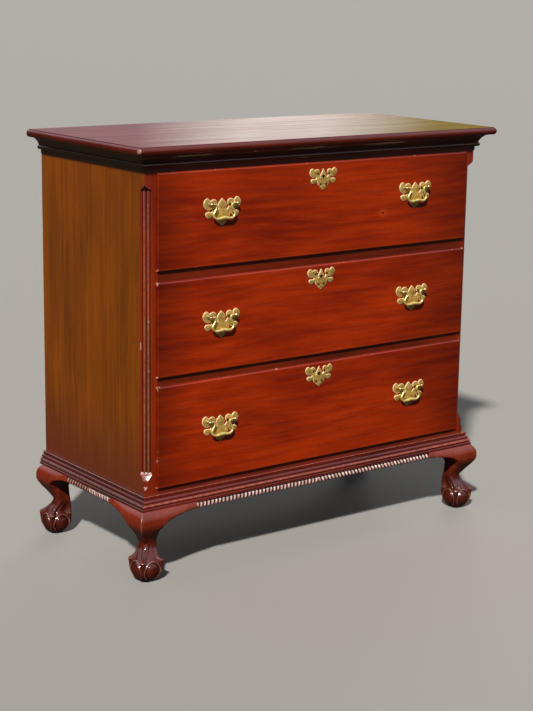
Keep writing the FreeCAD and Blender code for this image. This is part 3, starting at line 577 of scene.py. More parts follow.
# The edge is darker than the board, and one corner is knocked to bare pale wood, darker in the middle of the
# dent.
edge_wood, tree = new_material("mahogany polished top edge")
tint, fine, pitted = figured(tree, "X", "#440D05", "#60180A", 8.5, (140, 12))
knock = spot_reach(tree, Vector((board_low.x, board_low.y, board_high.z)) + KNOCK_IN, KNOCK_SIZE)
ragged = add(tree, "Math", {"operation": "MULTIPLY_ADD", 0: fine, 1: 1.2, 2: knock})
tint = toned(tree, tint, ragged, 1.40, 1.25, "#C8A494")
tint = toned(tree, tint, ragged, 1.18, 1.00, "#34100C")
polished(tree, tint, fine, pitted, 0.12)
second_finish(top_board, edge_wood, 2, TOP_LEVEL, 0)

cornice_low, cornice_high = corners_mm("cornice_front")
shelf = cornice_high.x - case_high.x
bead_top = cornice_low.z + 18.0
fascia_top = cornice_low.z + 8.0
cornice = [(0, cornice_high.z), (shelf, cornice_high.z), (shelf, cornice_high.z - 1.5)]
cornice += arc(cornice[-1], (11.0, cornice_low.z + 27.0), (7.0, bead_top + 1.5), COVE_STEPS)
cornice.append((6.4, bead_top))
cornice += arc(cornice[-1], (9.6, bead_top - 4.8), (4.6, fascia_top + 0.9), COVE_STEPS)
cornice += [(1.4, fascia_top), (1.4, cornice_low.z), (0, cornice_low.z)]
# The left run is tinted olive brown as a painted reflection; the right run is red-brown.
for first, (side, kind, along, dark, light, seed) in enumerate((
        ("left", "cornice left painted reflection", "Y", "#4E3206", "#74480A", 10.0),
        ("front", "cornice", "X", "#3A0802", "#5E1404", 9.0),
        ("right", "cornice right", "Y", "#4E2206", "#743008", 10.0))):
    wood = mahogany("mahogany polished " + kind, along, dark, light, seed, shine=0.2)
    add_piece("cornice_" + side + "_moulding", moulding_run(cornice, first), wood, "case",
              "cornice_" + side)

# The base moulding: a square fillet, a bead, an ovolo and a flat band, parted by fine quirks and worked on
# three mahogany strips that are mitred at the front corners and glued round the foot of the case.
ARRIS_WEAR_HIGHLIGHT = 0.8
base_low, base_high = corners_mm("base_mould_front")
fillet = base_high.x - case_high.x
foot, tall = base_low.z, base_high.z - base_low.z
base = [(0, 0), (fillet - 0.5, 0), (fillet, 0.5), (fillet, 4.8), (fillet - 0.8, 5.4), (12.8, 6.0),
        (12.8, 6.6), (13.4, 7.0)]
base += arc(base[-1], (14.4, 10.4), (11.6, 13.8), COVE_STEPS)
base += [(9.8, 14.2), (9.8, 15.0), (10.8, 15.4)]
base += arc(base[-1], (10.0, 18.6), (8.0, 20.6), COVE_STEPS)
base += [(5.6, 21.1), (5.6, 21.9), (6.8, 22.4), (6.8, tall - 0.5), (6.2, tall), (0, tall)]
base = [(out, foot + rise) for out, rise in base]
# The bead's crest and the top arris are made pale, partly as wear and partly as painted highlight.
crest = (foot + 9.2, foot + 12.6)
arris = (base_high.z - 0.7, base_high.z - 0.3)
# The pale edge colour is salmon on the front, a painted highlight, and grey on the sides, a painted reflection.
base_wood = mahogany(
    "mahogany polished base", "X", "#46100A", "#681E12", 11.0, shine=0.14, edge_wear_highlight_colour="#CC705A")
base_side_wood = mahogany(
    "mahogany polished base side", "Y", "#360E08", "#541A10", 12.0, shine=0.14, edge_wear_highlight_colour="#B4A090")
for first, (side, wood, pale_wear_highlight) in enumerate(
        (("left", base_side_wood, 0.2), ("front", base_wood, 0.5), ("right", base_side_wood, 0.2))):
    run = moulding_run(base, first, ((*crest, pale_wear_highlight), (*arris, ARRIS_WEAR_HIGHLIGHT)))
    add_piece("base_" + side + "_moulding", run, wood, "case", "base_mould_" + side)

# The legs: short cabriole legs, each carved from one block of mahogany. A broad knee with a sharp corner
# narrows to a square ankle, whose corners run down as tendons into four toes that grip a ball.
LEG_TOP = 152.0
KNEE_Z = 126.0
KNEE_OUT = 10.7
ANKLE_Z = 75.0
ANKLE_IN = 14.0
LEG_INNER = 46.0
BALL_R = 28.6
BALL_Z = 27.2
WINDOW_Z = 22.5
WINDOW_TALL = 21.5
WINDOW_ANGLE = 0.60
RIM_UP = 1.0
GROOVE_DEEP = 1.7
TENDON_GROOVE = 1.3
KNUCKLE_Z = 46.6
# How pale the knee's corner, the knuckle brows and the ball rims are made: partly wear, partly painted
# highlight.
EDGE_WEAR_HIGHLIGHT = 0.5
# How square the section is at the ankle and how much more at the knee, outside and inside.
OUTER_SQUARE = (3.0, 27.0)
INNER_SQUARE = (3.4, 40.0)
# Heights between which a form comes or goes.
OUTER_RISE = (80.0, 98.0)
INNER_RISE = (104.0, 128.0)
BLOCK_RISE = (58.0, 78.0)
CREST_RISE = (46.0, 58.0)
TOE_FADE = (80.0, 86.0)
TENDON_RISE = (47.0, 52.0)
TENDON_FADE = (66.0, 80.0)
LEG_SIDES = 192
FOOT_RINGS = 62
# Each table gives a size at falling heights.
FOOT_IN = ((75.0, -30.0), (68.0, -28.4), (61.0, -25.0), (54.0, -22.2), (47.0, -21.0), (0.0, -21.0))
SKIN = ((80.0, 16.0), (74.0, 16.0), (68.0, 16.3), (61.0, 17.9), (54.0, 20.2), (48.0, 22.6), (44.0, 24.6))
BELOW_RIDGE = ((27.0, 34.2), (21.0, 32.4), (15.0, 28.8), (10.0, 24.4), (5.0, 19.2), (0.0, 12.0))
TOE_RIDGE = ((86.0, 17.0), (78.0, 18.2), (72.0, 19.2), (66.0, 20.6), (60.0, 22.8), (55.0, 26.0), (51.0, 30.4),
             (48.6, 34.2), (47.2, 36.6), (46.2, 36.9), (44.5, 36.5), (39.0, 35.6), (33.0, 34.8)) + BELOW_RIDGE
HEEL_RIDGE = ((86.0, 19.4), (78.0, 19.8), (70.0, 22.4), (63.0, 27.4), (56.0, 31.6), (48.0, 34.2),
              (40.0, 34.8), (33.0, 34.6)) + BELOW_RIDGE
TOE_HALF = ((86.0, 9.0), (70.0, 7.2), (60.0, 6.2), (52.0, 6.6), (47.0, 7.6), (41.0, 6.9), (34.0, 5.8),
            (27.0, 5.6), (20.0, 5.0), (12.0, 4.2), (5.0, 3.0), (0.0, 2.0))
# The knee is painted lighter as a highlight and the foot darker as painted shade: where a tone is none and
# most, how much of it, and its colour.
LEG_PAINTED_LIGHT_SHADE = ((0.096, 0.126, 0.2, "#A23418"), (0.100, 0.070, 0.6, "#28090A"))


def at_height(table, z):
    """A smooth reading of a table of falling heights and values."""
    if z >= table[0][0]:
        return table[0][1]
    for i in range(len(table) - 1):
        (z0, v0), (z1, v1) = table[i], table[i + 1]
        if z >= z1:
            before, after = table[max(i - 1, 0)], table[min(i + 2, len(table) - 1)]
            m0 = (v1 - before[1]) / (z1 - before[0]) * (z1 - z0)
            m1 = (after[1] - v0) / (after[0] - z0) * (z1 - z0)
            t = (z - z0) / (z1 - z0)
            return ((2 * t ** 3 - 3 * t * t + 1) * v0 + (t ** 3 - 2 * t * t + t) * m0
                    + (3 * t * t - 2 * t ** 3) * v1 + (t ** 3 - t * t) * m1)
    return table[-1][1]


def knee_out(z):
    """How far the leg's outer faces stand out from the base moulding's corner at a height."""
    if z > KNEE_Z:
        return KNEE_OUT * (1 - (1 - (LEG_TOP - z) / (LEG_TOP - KNEE_Z)) ** 3)
    fall = min((KNEE_Z - z) / (KNEE_Z - ANKLE_Z), 1.0)
    return KNEE_OUT - (KNEE_OUT + ANKLE_IN) * (1 - cos(pi * fall)) / 2


def bump(value, at, wide):
    """1 at a place, falling to 0 on both sides of it."""
    return exp(-((value - at) / wide) ** 2)


def leg_radius(angle, z):
    """The leg's radius about its own line, at an angle from its outer corner, and the carving there."""
    half = (knee_out(z) + LEG_INNER) / 2
    outer = abs(angle) <= pi / 4
    least, more = OUTER_SQUARE if outer else INNER_SQUARE
    square = least + more * (ease(*OUTER_RISE, z) if outer else ease(*INNER_RISE, z) ** 2)
    c, s = abs(cos(angle - pi / 4)), abs(sin(angle - pi / 4))
    block = half / (c ** square + s ** square) ** (1 / square)
    if z > TOE_RIDGE[0][0]:
        return block, (-EDGE_WEAR_HIGHLIGHT * bump(angle, 0.0, 0.03) if outer else 0.0)
    ball = sqrt(max(BALL_R ** 2 - (z - BALL_Z) ** 2, 1.0))
    skin = at_height(SKIN, z) if z > SKIN[-1][0] else ball + 2.0
    skin += (block - skin) * ease(*BLOCK_RISE, z)
    nearest = round(angle / (pi / 2)) * pi / 2
    heel = abs(abs(nearest) - pi) < 0.1
    ridge = at_height(HEEL_RIDGE if heel else TOE_RIDGE, z)
    side = abs(ridge * sin(angle - nearest)) / at_height(TOE_HALF, z)
    crest = 5.0 - 3.2 * ease(*CREST_RISE, z)
    skin += max(ridge - skin, 0.0) * exp(-1.5 * side ** crest) * (1 - ease(*TOE_FADE, z))
    tendons = bump(side, 1.35, 0.25) * ease(*TENDON_RISE, z) * (1 - ease(*TENDON_FADE, z))
    skin -= TENDON_GROOVE * tendons
    between = pi / 4 - abs(angle - nearest)
    window = hypot(between / WINDOW_ANGLE, (z - WINDOW_Z) / WINDOW_TALL)
    rim = bump(window, 1.08, 0.05)
    groove = bump(window, 0.95, 0.04)
    shut = ease(0.96, 1.03, window)
    brow = bump(z, KNUCKLE_Z, 1.1) * exp(-side ** 4)
    radius = ball + (skin + RIM_UP * rim - ball) * shut - GROOVE_DEEP * groove * (1 - shut)
    # The grooves round the ball and beside the tendons are darkened as painted shade.
    return radius, groove + 0.5 * tendons - EDGE_WEAR_HIGHLIGHT * (brow + rim)


back_corner = corners_mm("leg_back_right")[1].y - KNEE_OUT


def leg_mesh(x_hand, y_hand):
    """A leg as rings down its height, closer at the top and on the foot, mirrored to its corner of the case."""
    corner_y = -base_low.y if y_hand < 0 else back_corner
    heights = [LEG_TOP - 0.4 * i for i in range(6)] + [LEG_TOP - 2.4 - 2.0 * i for i in range(33)]
    heights += [heights[-1] - 1.0 * (i + 1) for i in range(int(heights[-1] - 50.0))]
    heights += [heights[-1] * (1 - (i + 1) / FOOT_RINGS) for i in range(FOOT_RINGS)]
    rings = []
    for z in heights:
        middle = (knee_out(z) - LEG_INNER) / 2 if z > ANKLE_Z else at_height(FOOT_IN, z)
        ring = []
        for i in range(LEG_SIDES):
            angle = tau * i / LEG_SIDES
            angle -= tau if angle > pi else 0.0
            r, mark = leg_radius(angle, z)
            u = middle + r * cos(angle + pi / 4)
            v = middle + r * sin(angle + pi / 4)
            ring.append((x_hand * (base_high.x + u), y_hand * (corner_y + v), z, mark))
        rings.append(ring)
    return lofted(rings)


leg_wood, tree = new_material("mahogany carved leg")
tint, fine, pitted = figured(tree, "Z", "#46140A", "#762A14", 13.0, (90, 10))
for none_at, most_at, most, shade in LEG_PAINTED_LIGHT_SHADE:
    tint = toned(tree, tint, height_in(tree), none_at, most_at, shade, most)
polished(tree, carving_shade_wear_highlight(tree, tint, "#B08A7A"), fine, pitted, 0.12)
for y_name, y_hand in (("front", -1), ("back", 1)):
    for x_name, x_hand in (("left", -1), ("right", 1)):
        leg = "leg_" + y_name + "_" + x_name
        add_piece(leg + "_carved", leg_mesh(x_hand, y_hand), leg_wood, "case", leg)

# The knee blocks: shaped mahogany brackets glued beside each knee, two on the front and two on each side.
# Their swelling carries the knee's face on until it dies into the rope strip.
BLOCK_THICK = 26.0
BLOCK_END = 0.34
BLOCK_DROP = 16.0
BLOCK_FLARE = 6.0
BLOCK_TUCK = 5.0
BLOCK_ROUND = 4.0
FLARE_POWER = 14
SWELL_POWER = 1.4
BLOCK_STEPS = 22
BLOCK_ROWS = 20
STRIP_LOW = 139.0


def knee_block(length, corner):
    """A block in its own run: along it, out from the base moulding's edge, and height."""
    rings = []
    for k in range(BLOCK_STEPS + 1):
        t = k / BLOCK_STEPS * (1 + BLOCK_TUCK / length) - BLOCK_TUCK / length
        low = STRIP_LOW - BLOCK_DROP * (1 - t) ** 2 - BLOCK_FLARE * (1 - max(t, 0.0)) ** FLARE_POWER
        swell = 1 - (1 - BLOCK_END) * max(t, 0.0) ** SWELL_POWER
        ring = [(t * length, -BLOCK_THICK, low + 2), (t * length, -BLOCK_THICK, LEG_TOP)]
        for i in range(BLOCK_ROWS + 1):
            z = LEG_TOP + (low - LEG_TOP) * (i / BLOCK_ROWS)
            under = max(BLOCK_ROUND - (z - low), 0.0) / BLOCK_ROUND
            out = knee_out(z) * swell - BLOCK_ROUND * (1 - sqrt(1 - under * under))
            ring.append((t * length, out, z))
        rings.append(ring)
    points, faces = lofted(rings)
    return [corner(*p) for p in points], faces


rope_low, rope_high = corners_mm("rope_front")
side_rope_low, side_rope_high = corners_mm("rope_sides")
side_start = base_high.x - LEG_INNER
front_blocks, side_blocks = [], []
for hand in (-1, 1):
    front_blocks.append(
        knee_block(side_start - rope_high.x, lambda a, o, z: (hand * (side_start - a), base_low.y - o, z)))
    for start, end, way in ((base_low.y + LEG_INNER, side_rope_low.y, 1),
                            (back_corner - LEG_INNER, side_rope_high.y, -1)):
        side_blocks.append(
            knee_block(way * (end - start), lambda a, o, z: (hand * (base_high.x + o), start + way * a, z)))
for side, blocks in (("front", front_blocks), ("side", side_blocks)):
    node = "knee_blocks_" + side
    add_piece(node + "_carved", joined(*blocks), leg_wood, "case", node)

# The rope strip: a thin mahogany bead under the base moulding, carved as a twisted rope between the knee
# blocks on the front and both sides. Every strand is one rounded swelling that leans to the strip's middle,
# more on one half than on the other.
STRAND_PITCH_M = 0.0092
STRAND_LEAN = {-1: 0.24, 1: 0.42}
STRAND_SET_BACK_M = 0.0040
STRAND_INSET_M = 0.004
# How much painted highlight the crests get on the back half of each side strip.
BACK_HIGHLIGHT = 0.35
ROPE_SHARP = radians(50)


def rope_tree():
    """A row of leaning strands along the first axis in front of a plain core strip, both about the middle of
    the run. The flanks of the strands are darkened as painted shade, and the upper part of their crests is
    painted pale as a highlight."""
    tree = bpy.data.node_groups.new("rope strip", "GeometryNodeTree")
    face = tree.interface
    for name, value in (
            ("Length", 0.32), ("Strands", 34), ("Strand height", 0.0172), ("Strand width", 0.0096),
            ("Strand depth", 0.0100), ("Strand drop", -0.0008), ("Core height", 0.0130),
            ("Core depth", 0.0100), ("Lean", STRAND_LEAN[-1]), ("Flare", -0.30), ("Highlight", 1.0)):
        kind = "NodeSocketInt" if isinstance(value, int) else "NodeSocketFloat"
        face.new_socket(name, in_out="INPUT", socket_type=kind).default_value = value
    face.new_socket("Wood", in_out="INPUT", socket_type="NodeSocketMaterial")
    face.new_socket("Geometry", in_out="OUTPUT", socket_type="NodeSocketGeometry")
    given = add(tree, "NodeGroupInput", {}).outputs
    ball = add(tree, "GeometryNodeMeshUVSphere", {"Segments": 20, "Rings": 12, "Radius": 0.5})
    spot = add(tree, "SeparateXYZ", {"Vector": add(tree, "GeometryNodeInputPosition", {})}).outputs
    flank = add(tree, "Math", {"operation": "ABSOLUTE", 0: spot["X"]})
    # The strands' flanks are darkened as painted shade, and the upper crests made pale as a painted highlight.
    dark = add(tree, "MapRange", {"Value": flank, "From Min": 0.30, "From Max": 0.42})
    crest = add(tree, "MapRange", {"Value": flank, "From Min": 0.28, "From Max": 0.14})
    upper = add(tree, "MapRange", {"Value": spot["Z"], "From Min": -0.47, "From Max": -0.25})
    whole = add(tree, "Math", {"operation": "MULTIPLY", 0: crest, 1: upper})
    pale = add(tree, "Math", {"operation": "MULTIPLY", 0: whole, 1: given["Highlight"]})
    cut = add(tree, "Math", {"operation": "SUBTRACT", 0: dark, 1: pale})
    ball = add(tree, "GeometryNodeStoreNamedAttribute", {
        "data_type": "FLOAT", "Geometry": ball, "Name": "carving", "Value": cut})
    size = add(tree, "CombineXYZ", {
        0: given["Strand width"], 1: given["Strand depth"], 2: given["Strand height"]})
    strand = add(tree, "GeometryNodeTransform", {"Geometry": ball, "Scale": size})
    turn = add(tree, "CombineXYZ", {0: given["Flare"], 1: given["Lean"]})
    drop = add(tree, "CombineXYZ", {2: given["Strand drop"]})
    leaning = add(tree, "GeometryNodeTransform", {"Geometry": strand, "Rotation": turn, "Translation": drop})
    half = add(tree, "Math", {"operation": "MULTIPLY", 0: given["Length"], 1: 0.5})
    ends = [add(tree, "CombineXYZ", {0: add(tree, "Math", {"operation": "SUBTRACT", 0: a, 1: b})})
            for a, b in ((STRAND_INSET_M, half), (half, STRAND_INSET_M))]
    line = add(tree, "GeometryNodeCurvePrimitiveLine", {"Start": ends[0], "End": ends[1]})
    places = add(tree, "GeometryNodeCurveToPoints", {"Curve": line, "Count": given["Strands"]})
    row = add(tree, "GeometryNodeInstanceOnPoints", {"Points": places, "Instance": leaning})
    core_size = add(tree, "CombineXYZ", {0: given["Length"], 1: given["Core depth"], 2: given["Core height"]})
    core = add(tree, "GeometryNodeMeshCube", {"Size": core_size})
    set_back = add(tree, "Math", {"operation": "MULTIPLY", 0: given["Core depth"], 1: 0.5})
    behind = add(tree, "GeometryNodeTransform", {
        "Geometry": core, "Translation": add(tree, "CombineXYZ", {1: set_back})})
    both = add(tree, "GeometryNodeJoinGeometry", {"Geometry": row})
    tree.links.new(behind.outputs[0], both.inputs[0])
    solid = add(tree, "GeometryNodeRealizeInstances", {"Geometry": both})
    done = add(tree, "GeometryNodeSetMaterial", {"Geometry": solid, "Material": given["Wood"]})
    add(tree, "NodeGroupOutput", {"Geometry": done})
    return tree


def plain_mesh(carrier):
    """The finished shape of an object as a mesh of its own. The object is taken away."""
    mesh = bpy.data.meshes.new_from_object(carrier.evaluated_get(bpy.context.evaluated_depsgraph_get()))
    bpy.data.objects.remove(carrier)
    return mesh


def rope_half(length_mm, lean, pale_wear_highlight, place):
    """One half of a strip of rope as a plain mesh, set in its place."""
    carrier = placed("rope run", bpy.data.meshes.new("rope run"))
    modifier = carrier.modifiers.new("rope strip", "NODES")
    modifier.node_group = rope_nodes
    values = {"Length": length_mm * MM, "Strands": int(length_mm * MM / STRAND_PITCH_M), "Lean": lean,
              "Highlight": pale_wear_highlight, "Wood": rope_wood}
    for socket in rope_nodes.interface.items_tree:
        if socket.in_out == "INPUT" and socket.name in values:
            modifier[socket.identifier] = values[socket.name]
    mesh = plain_mesh(carrier)
    mesh.transform(place)
    return mesh


def rope_piece(name, length_mm, places, stands_for):
    """A piece of one or more strips of rope: both halves of each lean to its middle."""
    work = bmesh.new()
    for place in places:
        for half in (-1, 1):
            along = Matrix.Translation((half * length_mm * MM / 4, 0, 0))
            pale_wear_highlight = BACK_HIGHLIGHT if half * place[1][0] > 0.5 else 1.0
            work.from_mesh(rope_half(length_mm / 2, -half * STRAND_LEAN[half], pale_wear_highlight, place @ along))
    whole = bpy.data.meshes.new(name)
    work.to_mesh(whole)
    work.free()
    ride_as(name, whole, rope_wood, ROPE_SHARP, "case", stands_for)


# The near-white edge colour is the painted highlight on the strand crests.
rope_wood = mahogany("mahogany carved rope", "X", "#541410", "#7E2C20", 14.0, shine=0.30, edge_wear_highlight_colour="#F0DCD2")
rope_nodes = rope_tree()
rope_middle = (rope_low.z + rope_high.z) / 2 * MM
front_place = Matrix.Translation((0, rope_low.y * MM + STRAND_SET_BACK_M, rope_middle))
rope_piece("rope_front_carved", rope_high.x - rope_low.x, [front_place], "rope_front")
side_middle = (side_rope_low.y + side_rope_high.y) / 2 * MM
side_out = side_rope_high.x * MM - STRAND_SET_BACK_M
side_places = [Matrix.Translation((hand * side_out, side_middle, rope_middle))
               @ Matrix.Rotation(hand * pi / 2, 4, "Z") for hand in (-1, 1)]
rope_piece("rope_sides_carved", side_rope_high.y - side_rope_low.y, side_places, "rope_sides")

# The drawers: lipped fronts of figured mahogany, each cut from its own board, dovetailed to thin poplar
# sides, with a poplar back and bottom. A steel lock is let into each front behind its keyhole.
DRAWERS = ("top", "middle", "bottom")
FRONT_DARK = "#701500"
FRONT_LIGHT = "#A22D00"
TONED_LEFT_MM = 90.0
TONED_RIGHT_MM = 210.0
TONED_TO = 0.50
LOWER_LIP_LIGHT_MM = 4.0
CHIP_RIM_MM = 1.8
CHIP_CORNER_MM = 12.0
# The knot and the painted shade of the keyhole reach all through the board.
KNOT_AT_MM = (167.4, 711.8)
KNOT_SIZE_MM = (13.0, 1000.0, 9.0)
KEYHOLE_SHADE_MM = (6.0, 10000.0, 12.0)


def drawer_front_wood(name, seed):
    """Figured mahogany, French-polished. The finisher toned both ends darker, the lower lip is painted a light
    orange as a reflection of the lit floor, the lip is chipped to pale wood at its corners, one board has a
    small knot with a bright ring, and the wood round the keyhole is painted near black as the shade inside it."""
    low, high = corners_mm(name + "_drawer_front")
    material, tree = new_material("mahogany polished front " + name)
    tint, fine, pitted = figured(tree, "X", FRONT_DARK, FRONT_LIGHT, seed, (140, 12))
    spot = add(tree, "TexCoord", {}).outputs["Object"]
    place = add(tree, "SeparateXYZ", {"Vector": spot}).outputs
    for wide, end in ((TONED_LEFT_MM, low.x), (TONED_RIGHT_MM, high.x)):
        inner = end - copysign(wide, end)
        kept = add(tree, "MapRange", {"Value": place["X"], "From Min": inner * MM, "From Max": end * MM,
                                      "To Min": 1.0, "To Max": TONED_TO})
        tint = add(tree, "MixRGB", {"blend_type": "MULTIPLY", "Fac": 1.0, "Color1": tint, "Color2": kept})
    if low.z < KNOT_AT_MM[1] < high.z:
        knot = spot_reach(tree, (KNOT_AT_MM[0], low.y, KNOT_AT_MM[1]), KNOT_SIZE_MM)
        ragged = add(tree, "Math", {"operation": "MULTIPLY_ADD", 0: fine, 1: 0.8, 2: knot})
        tint = toned(tree, tint, ragged, 1.6, 0.8, "#A83A0C")
        tint = toned(tree, tint, ragged, 0.85, 0.55, "#4A1A10")
    # The lower lip is painted light orange as a reflection of the lit floor below.
    tint = toned(tree, tint, place["Z"], (low.z + LOWER_LIP_LIGHT_MM) * MM, low.z * MM, "#C8480C", 0.8)
    sideways = add(tree, "Math", {"operation": "ABSOLUTE", 0: place["X"]})
    upward = add(tree, "Math", {"operation": "SUBTRACT", 0: place["Z"], 1: (low.z + high.z) / 2 * MM})
    upward = add(tree, "Math", {"operation": "ABSOLUTE", 0: upward})
    ways = ((sideways, high.x), (upward, (high.z - low.z) / 2))
    rims, near = ([add(tree, "MapRange", {
        "Value": value, "From Min": (half - wide) * MM, "From Max": half * MM, "To Max": most})
        for value, half in ways] for wide, most in ((CHIP_RIM_MM, 1.0), (CHIP_CORNER_MM, 0.45)))
    rim = add(tree, "Math", {"operation": "MAXIMUM", 0: rims[0], 1: rims[1]})
    corner = add(tree, "Math", {"operation": "MULTIPLY", 0: near[0], 1: near[1]})
    flakes = add(tree, "TexNoise", {"Vector": spot, "Scale": 1000 / 14, "Detail": 3.0})
    flakes = add(tree, "Math", {"operation": "ADD", 0: flakes, 1: corner})
    flaked = add(tree, "MapRange", {"Value": flakes, "From Min": 0.67, "From Max": 0.72})
    chips = add(tree, "Math", {"operation": "MULTIPLY", 0: rim, 1: flaked})
    tint = add(tree, "MixRGB", {"Fac": chips, "Color1": tint, "Color2": colour("#C89274")})
    # The wood round the keyhole is painted near black as the shade inside the hole.
    key_low, key_high = corners_mm(name + "_escutcheon")
    keyhole = spot_reach(tree, (0.0, 0.0, (key_low.z + key_high.z) / 2), KEYHOLE_SHADE_MM)
    tint = toned(tree, tint, keyhole, 1.1, 1.0, "#0A0403")
    polished(tree, tint, fine, pitted, 0.08)
    return material


# Forged steel gone brown with age: a dark mottled metal with a soft shine.
lock_steel, tree = new_material("steel forged lock")
here = add(tree, "TexCoord", {}).outputs["Object"]
mottle = add(tree, "TexNoise", {"Vector": here, "Scale": 180.0, "Detail": 5.0})
tone = add(tree, "MixRGB", {"Fac": mottle, "Color1": colour("#1E1A16"), "Color2": colour("#4A443E")})
steel = add(tree, "BsdfPrincipled", {"Base Color": tone, "Metallic": 1.0, "Roughness": 0.48})
add(tree, "OutputMaterial", {"Surface": steel})
for number, name in enumerate(DRAWERS):
    drawer = name + "_drawer_"
    finish_nodes(drawer_front_wood(name, 20.0 + 3 * number), drawer + "front")
    finish_nodes(poplar("poplar drawer side " + name, "Y", 30.0 + number), drawer + "sides")
    finish_nodes(poplar("poplar drawer back " + name, "X", 40.0 + number), drawer + "back", drawer + "bottom")
    finish_nodes(lock_steel, drawer + "lock")

# The brass: each drawer has two batwing plates cut from sheet and filed to a bevel, with cast posts bolted
# through the front and a cast bail that swings on them, and a pierced keyhole plate of the same pattern.
PLATE_UNITS = 73.0
PLATE_FOOT = 24.2
# Half the plate's outline, in runs that meet at sharp corners. The upper leaf is narrower on a keyhole plate.
KEY_LEAF = (((0.0, 20.6), (4.0, 13.6), (6.8, 8.8), (9.4, 5.2)), ((9.4, 5.2), (7.6, 3.2), (8.6, 2.4)))
PULL_LEAF = (((0.0, 20.6), (3.6, 17.4), (6.8, 13.6), (8.5, 9.8), (7.8, 6.6), (6.9, 4.6)),
             ((6.9, 4.6), (7.4, 2.8), (8.6, 2.4)))
PLATE_RUNS = (
    ((8.6, 2.4), (10.8, 4.2), (12.7, 7.4), (10.8, 10.2), (10.0, 14.4), (12.4, 18.4), (16.5, 19.6),
     (20.6, 18.4), (23.4, 16.8)),
    ((23.4, 16.8), (26.0, 20.2), (29.5, 21.6), (34.0, 18.8), (36.5, 13.0), (34.2, 6.6), (29.8, 3.2),
     (25.0, 2.4), (20.4, 3.2)),
    ((20.4, 3.2), (18.8, 1.2), (20.6, -1.0)),
    ((20.6, -1.0), (25.0, -0.2), (30.0, -0.6), (32.8, -4.2), (30.4, -8.8), (25.6, -10.8), (21.2, -8.8),
     (18.4, -5.6), (15.8, -4.6)),
    ((15.8, -4.6), (15.6, -9.0), (13.6, -13.2), (10.8, -15.8)),
    ((10.8, -15.8), (8.6, -15.2)),
    ((8.6, -15.2), (7.8, -18.6), (3.8, -21.6), (0.0, -PLATE_FOOT)),
)
# Piercings: across, up and radius.
PLATE_HOLES = ((14.4, 9.4, 1.7), (7.4, -12.8, 1.7))
HOLE_SIDES = 16
RUN_STEPS = 5
PLATE_BEVEL = 1.3
KEY_BEVEL = 1.1
SHEET_HALF = 0.1
SHEET_SHARE = 0.25
PLATE_LEVEL = 0.97
WALL_SHARE = 0.8
KEY_ROUND = 2.6
KEY_UP = 4.0
KEY_SLOT = (1.6, -5.0)
KEY_REACH = 5.0
# Radius and depth along a post, from its head, its pivot and the plate, and along its nut from its end.
POST_OUT = 31.0
POST_SIDES = 20
POST_SHANK = 2.2
POST_HEAD = ((0.8, 0.05), (2.0, 0.5), (2.6, 1.4), (2.3, 2.0), (3.4, 3.0))
POST_EYE = ((3.8, 0.0), (3.4, 2.0), (2.6, 3.4))
POST_COLLAR = ((2.4, -2.4), (3.4, -1.8), (4.4, -1.0), (4.6, 0.0), (POST_SHANK, 0.1))
POST_NUT = ((POST_SHANK, -3.1), (6.6, -3.0), (7.0, -2.6), (7.0, -0.5), (6.4, 0.0), (POST_SHANK, 0.0))
NUT_SIDES = 6
# Across, up and radius, along half a bail from its pivot to the middle of its grip.
BAIL_HALF = ((28.8, 0.0, 1.5), (25.0, 0.0, 1.8), (20.6, -0.5, 2.0), (18.7, -3.6, 2.1), (19.4, -8.4, 2.2),
             (23.4, -14.4, 2.2), (26.1, -19.6, 2.3), (24.9, -24.8, 2.4), (20.6, -28.6, 2.6),
             (14.8, -29.7, 3.1), (8.4, -29.0, 3.7), (0.0, -28.0, 4.0))
BAIL_SIDES = 14


def smooth_run(points, steps):
    """Points of a smooth curve through the given ones, without the last."""
    out = []
    for i in range(len(points) - 1):
        p0, p1, p2, p3 = (points[max(min(i + k, len(points) - 1), 0)] for k in (-1, 0, 1, 2))
        for s in range(steps):
            t = s / steps
            out.append(tuple(
                0.5 * (2 * b + (c - a) * t + (2 * a - 5 * b + 4 * c - d) * t * t
                       + (3 * b - a - 3 * c + d) * t ** 3)
                for a, b, c, d in zip(p0, p1, p2, p3)))
    return out


def circle(sides):
    """The cosine and sine of each step round a circle."""
    return [(cos(tau * i / sides), sin(tau * i / sides)) for i in range(sides)]


def plate_loops(width, leaf):
    """The plate's outline and its piercings on both sides, scaled to its width."""
    half = [p for run in leaf + PLATE_RUNS for p in smooth_run(run, RUN_STEPS if len(run) > 2 else 1)]
    loops = [half + [PLATE_RUNS[-1][-1]] + [(-x, y) for x, y in reversed(half[1:])]]
    loops += [[(h * x + r * c, y - r * s) for c, s in circle(HOLE_SIDES)] for x, y, r in PLATE_HOLES
              for h in (-1, 1)]
    return [[(x * width / PLATE_UNITS, y * width / PLATE_UNITS) for x, y in loop] for loop in loops]


def pierced_plate(loops, x, z, back, front, bevel):
    """A flat plate with bevelled edges from its loops, standing on a drawer front."""
    curve = bpy.data.curves.new("plate outline", "CURVE")
    curve.dimensions = "2D"
    curve.fill_mode = "BOTH"
    curve.extrude = SHEET_HALF
    curve.bevel_depth = bevel
    curve.bevel_resolution = 1
    curve.offset = -bevel
    for loop in loops:
        spline = curve.splines.new("POLY")
        spline.points.add(len(loop) - 1)
        spline.use_cyclic_u = True
        for point, (px, py) in zip(spline.points, loop):
            point.co = (px, py, 0.0, 1.0)
    mesh = plain_mesh(placed("plate outline", curve))
    points = []
    for vertex in mesh.vertices:
        out = SHEET_SHARE + (1 - SHEET_SHARE) * vertex.co.z / (bevel + SHEET_HALF) if vertex.co.z > 0 else 0.0
        points.append((x + vertex.co.x, back + (front - back) * out, z + vertex.co.y))
    faces = [tuple(p.vertices) for p in mesh.polygons]
    bpy.data.meshes.remove(mesh)
    return points, faces


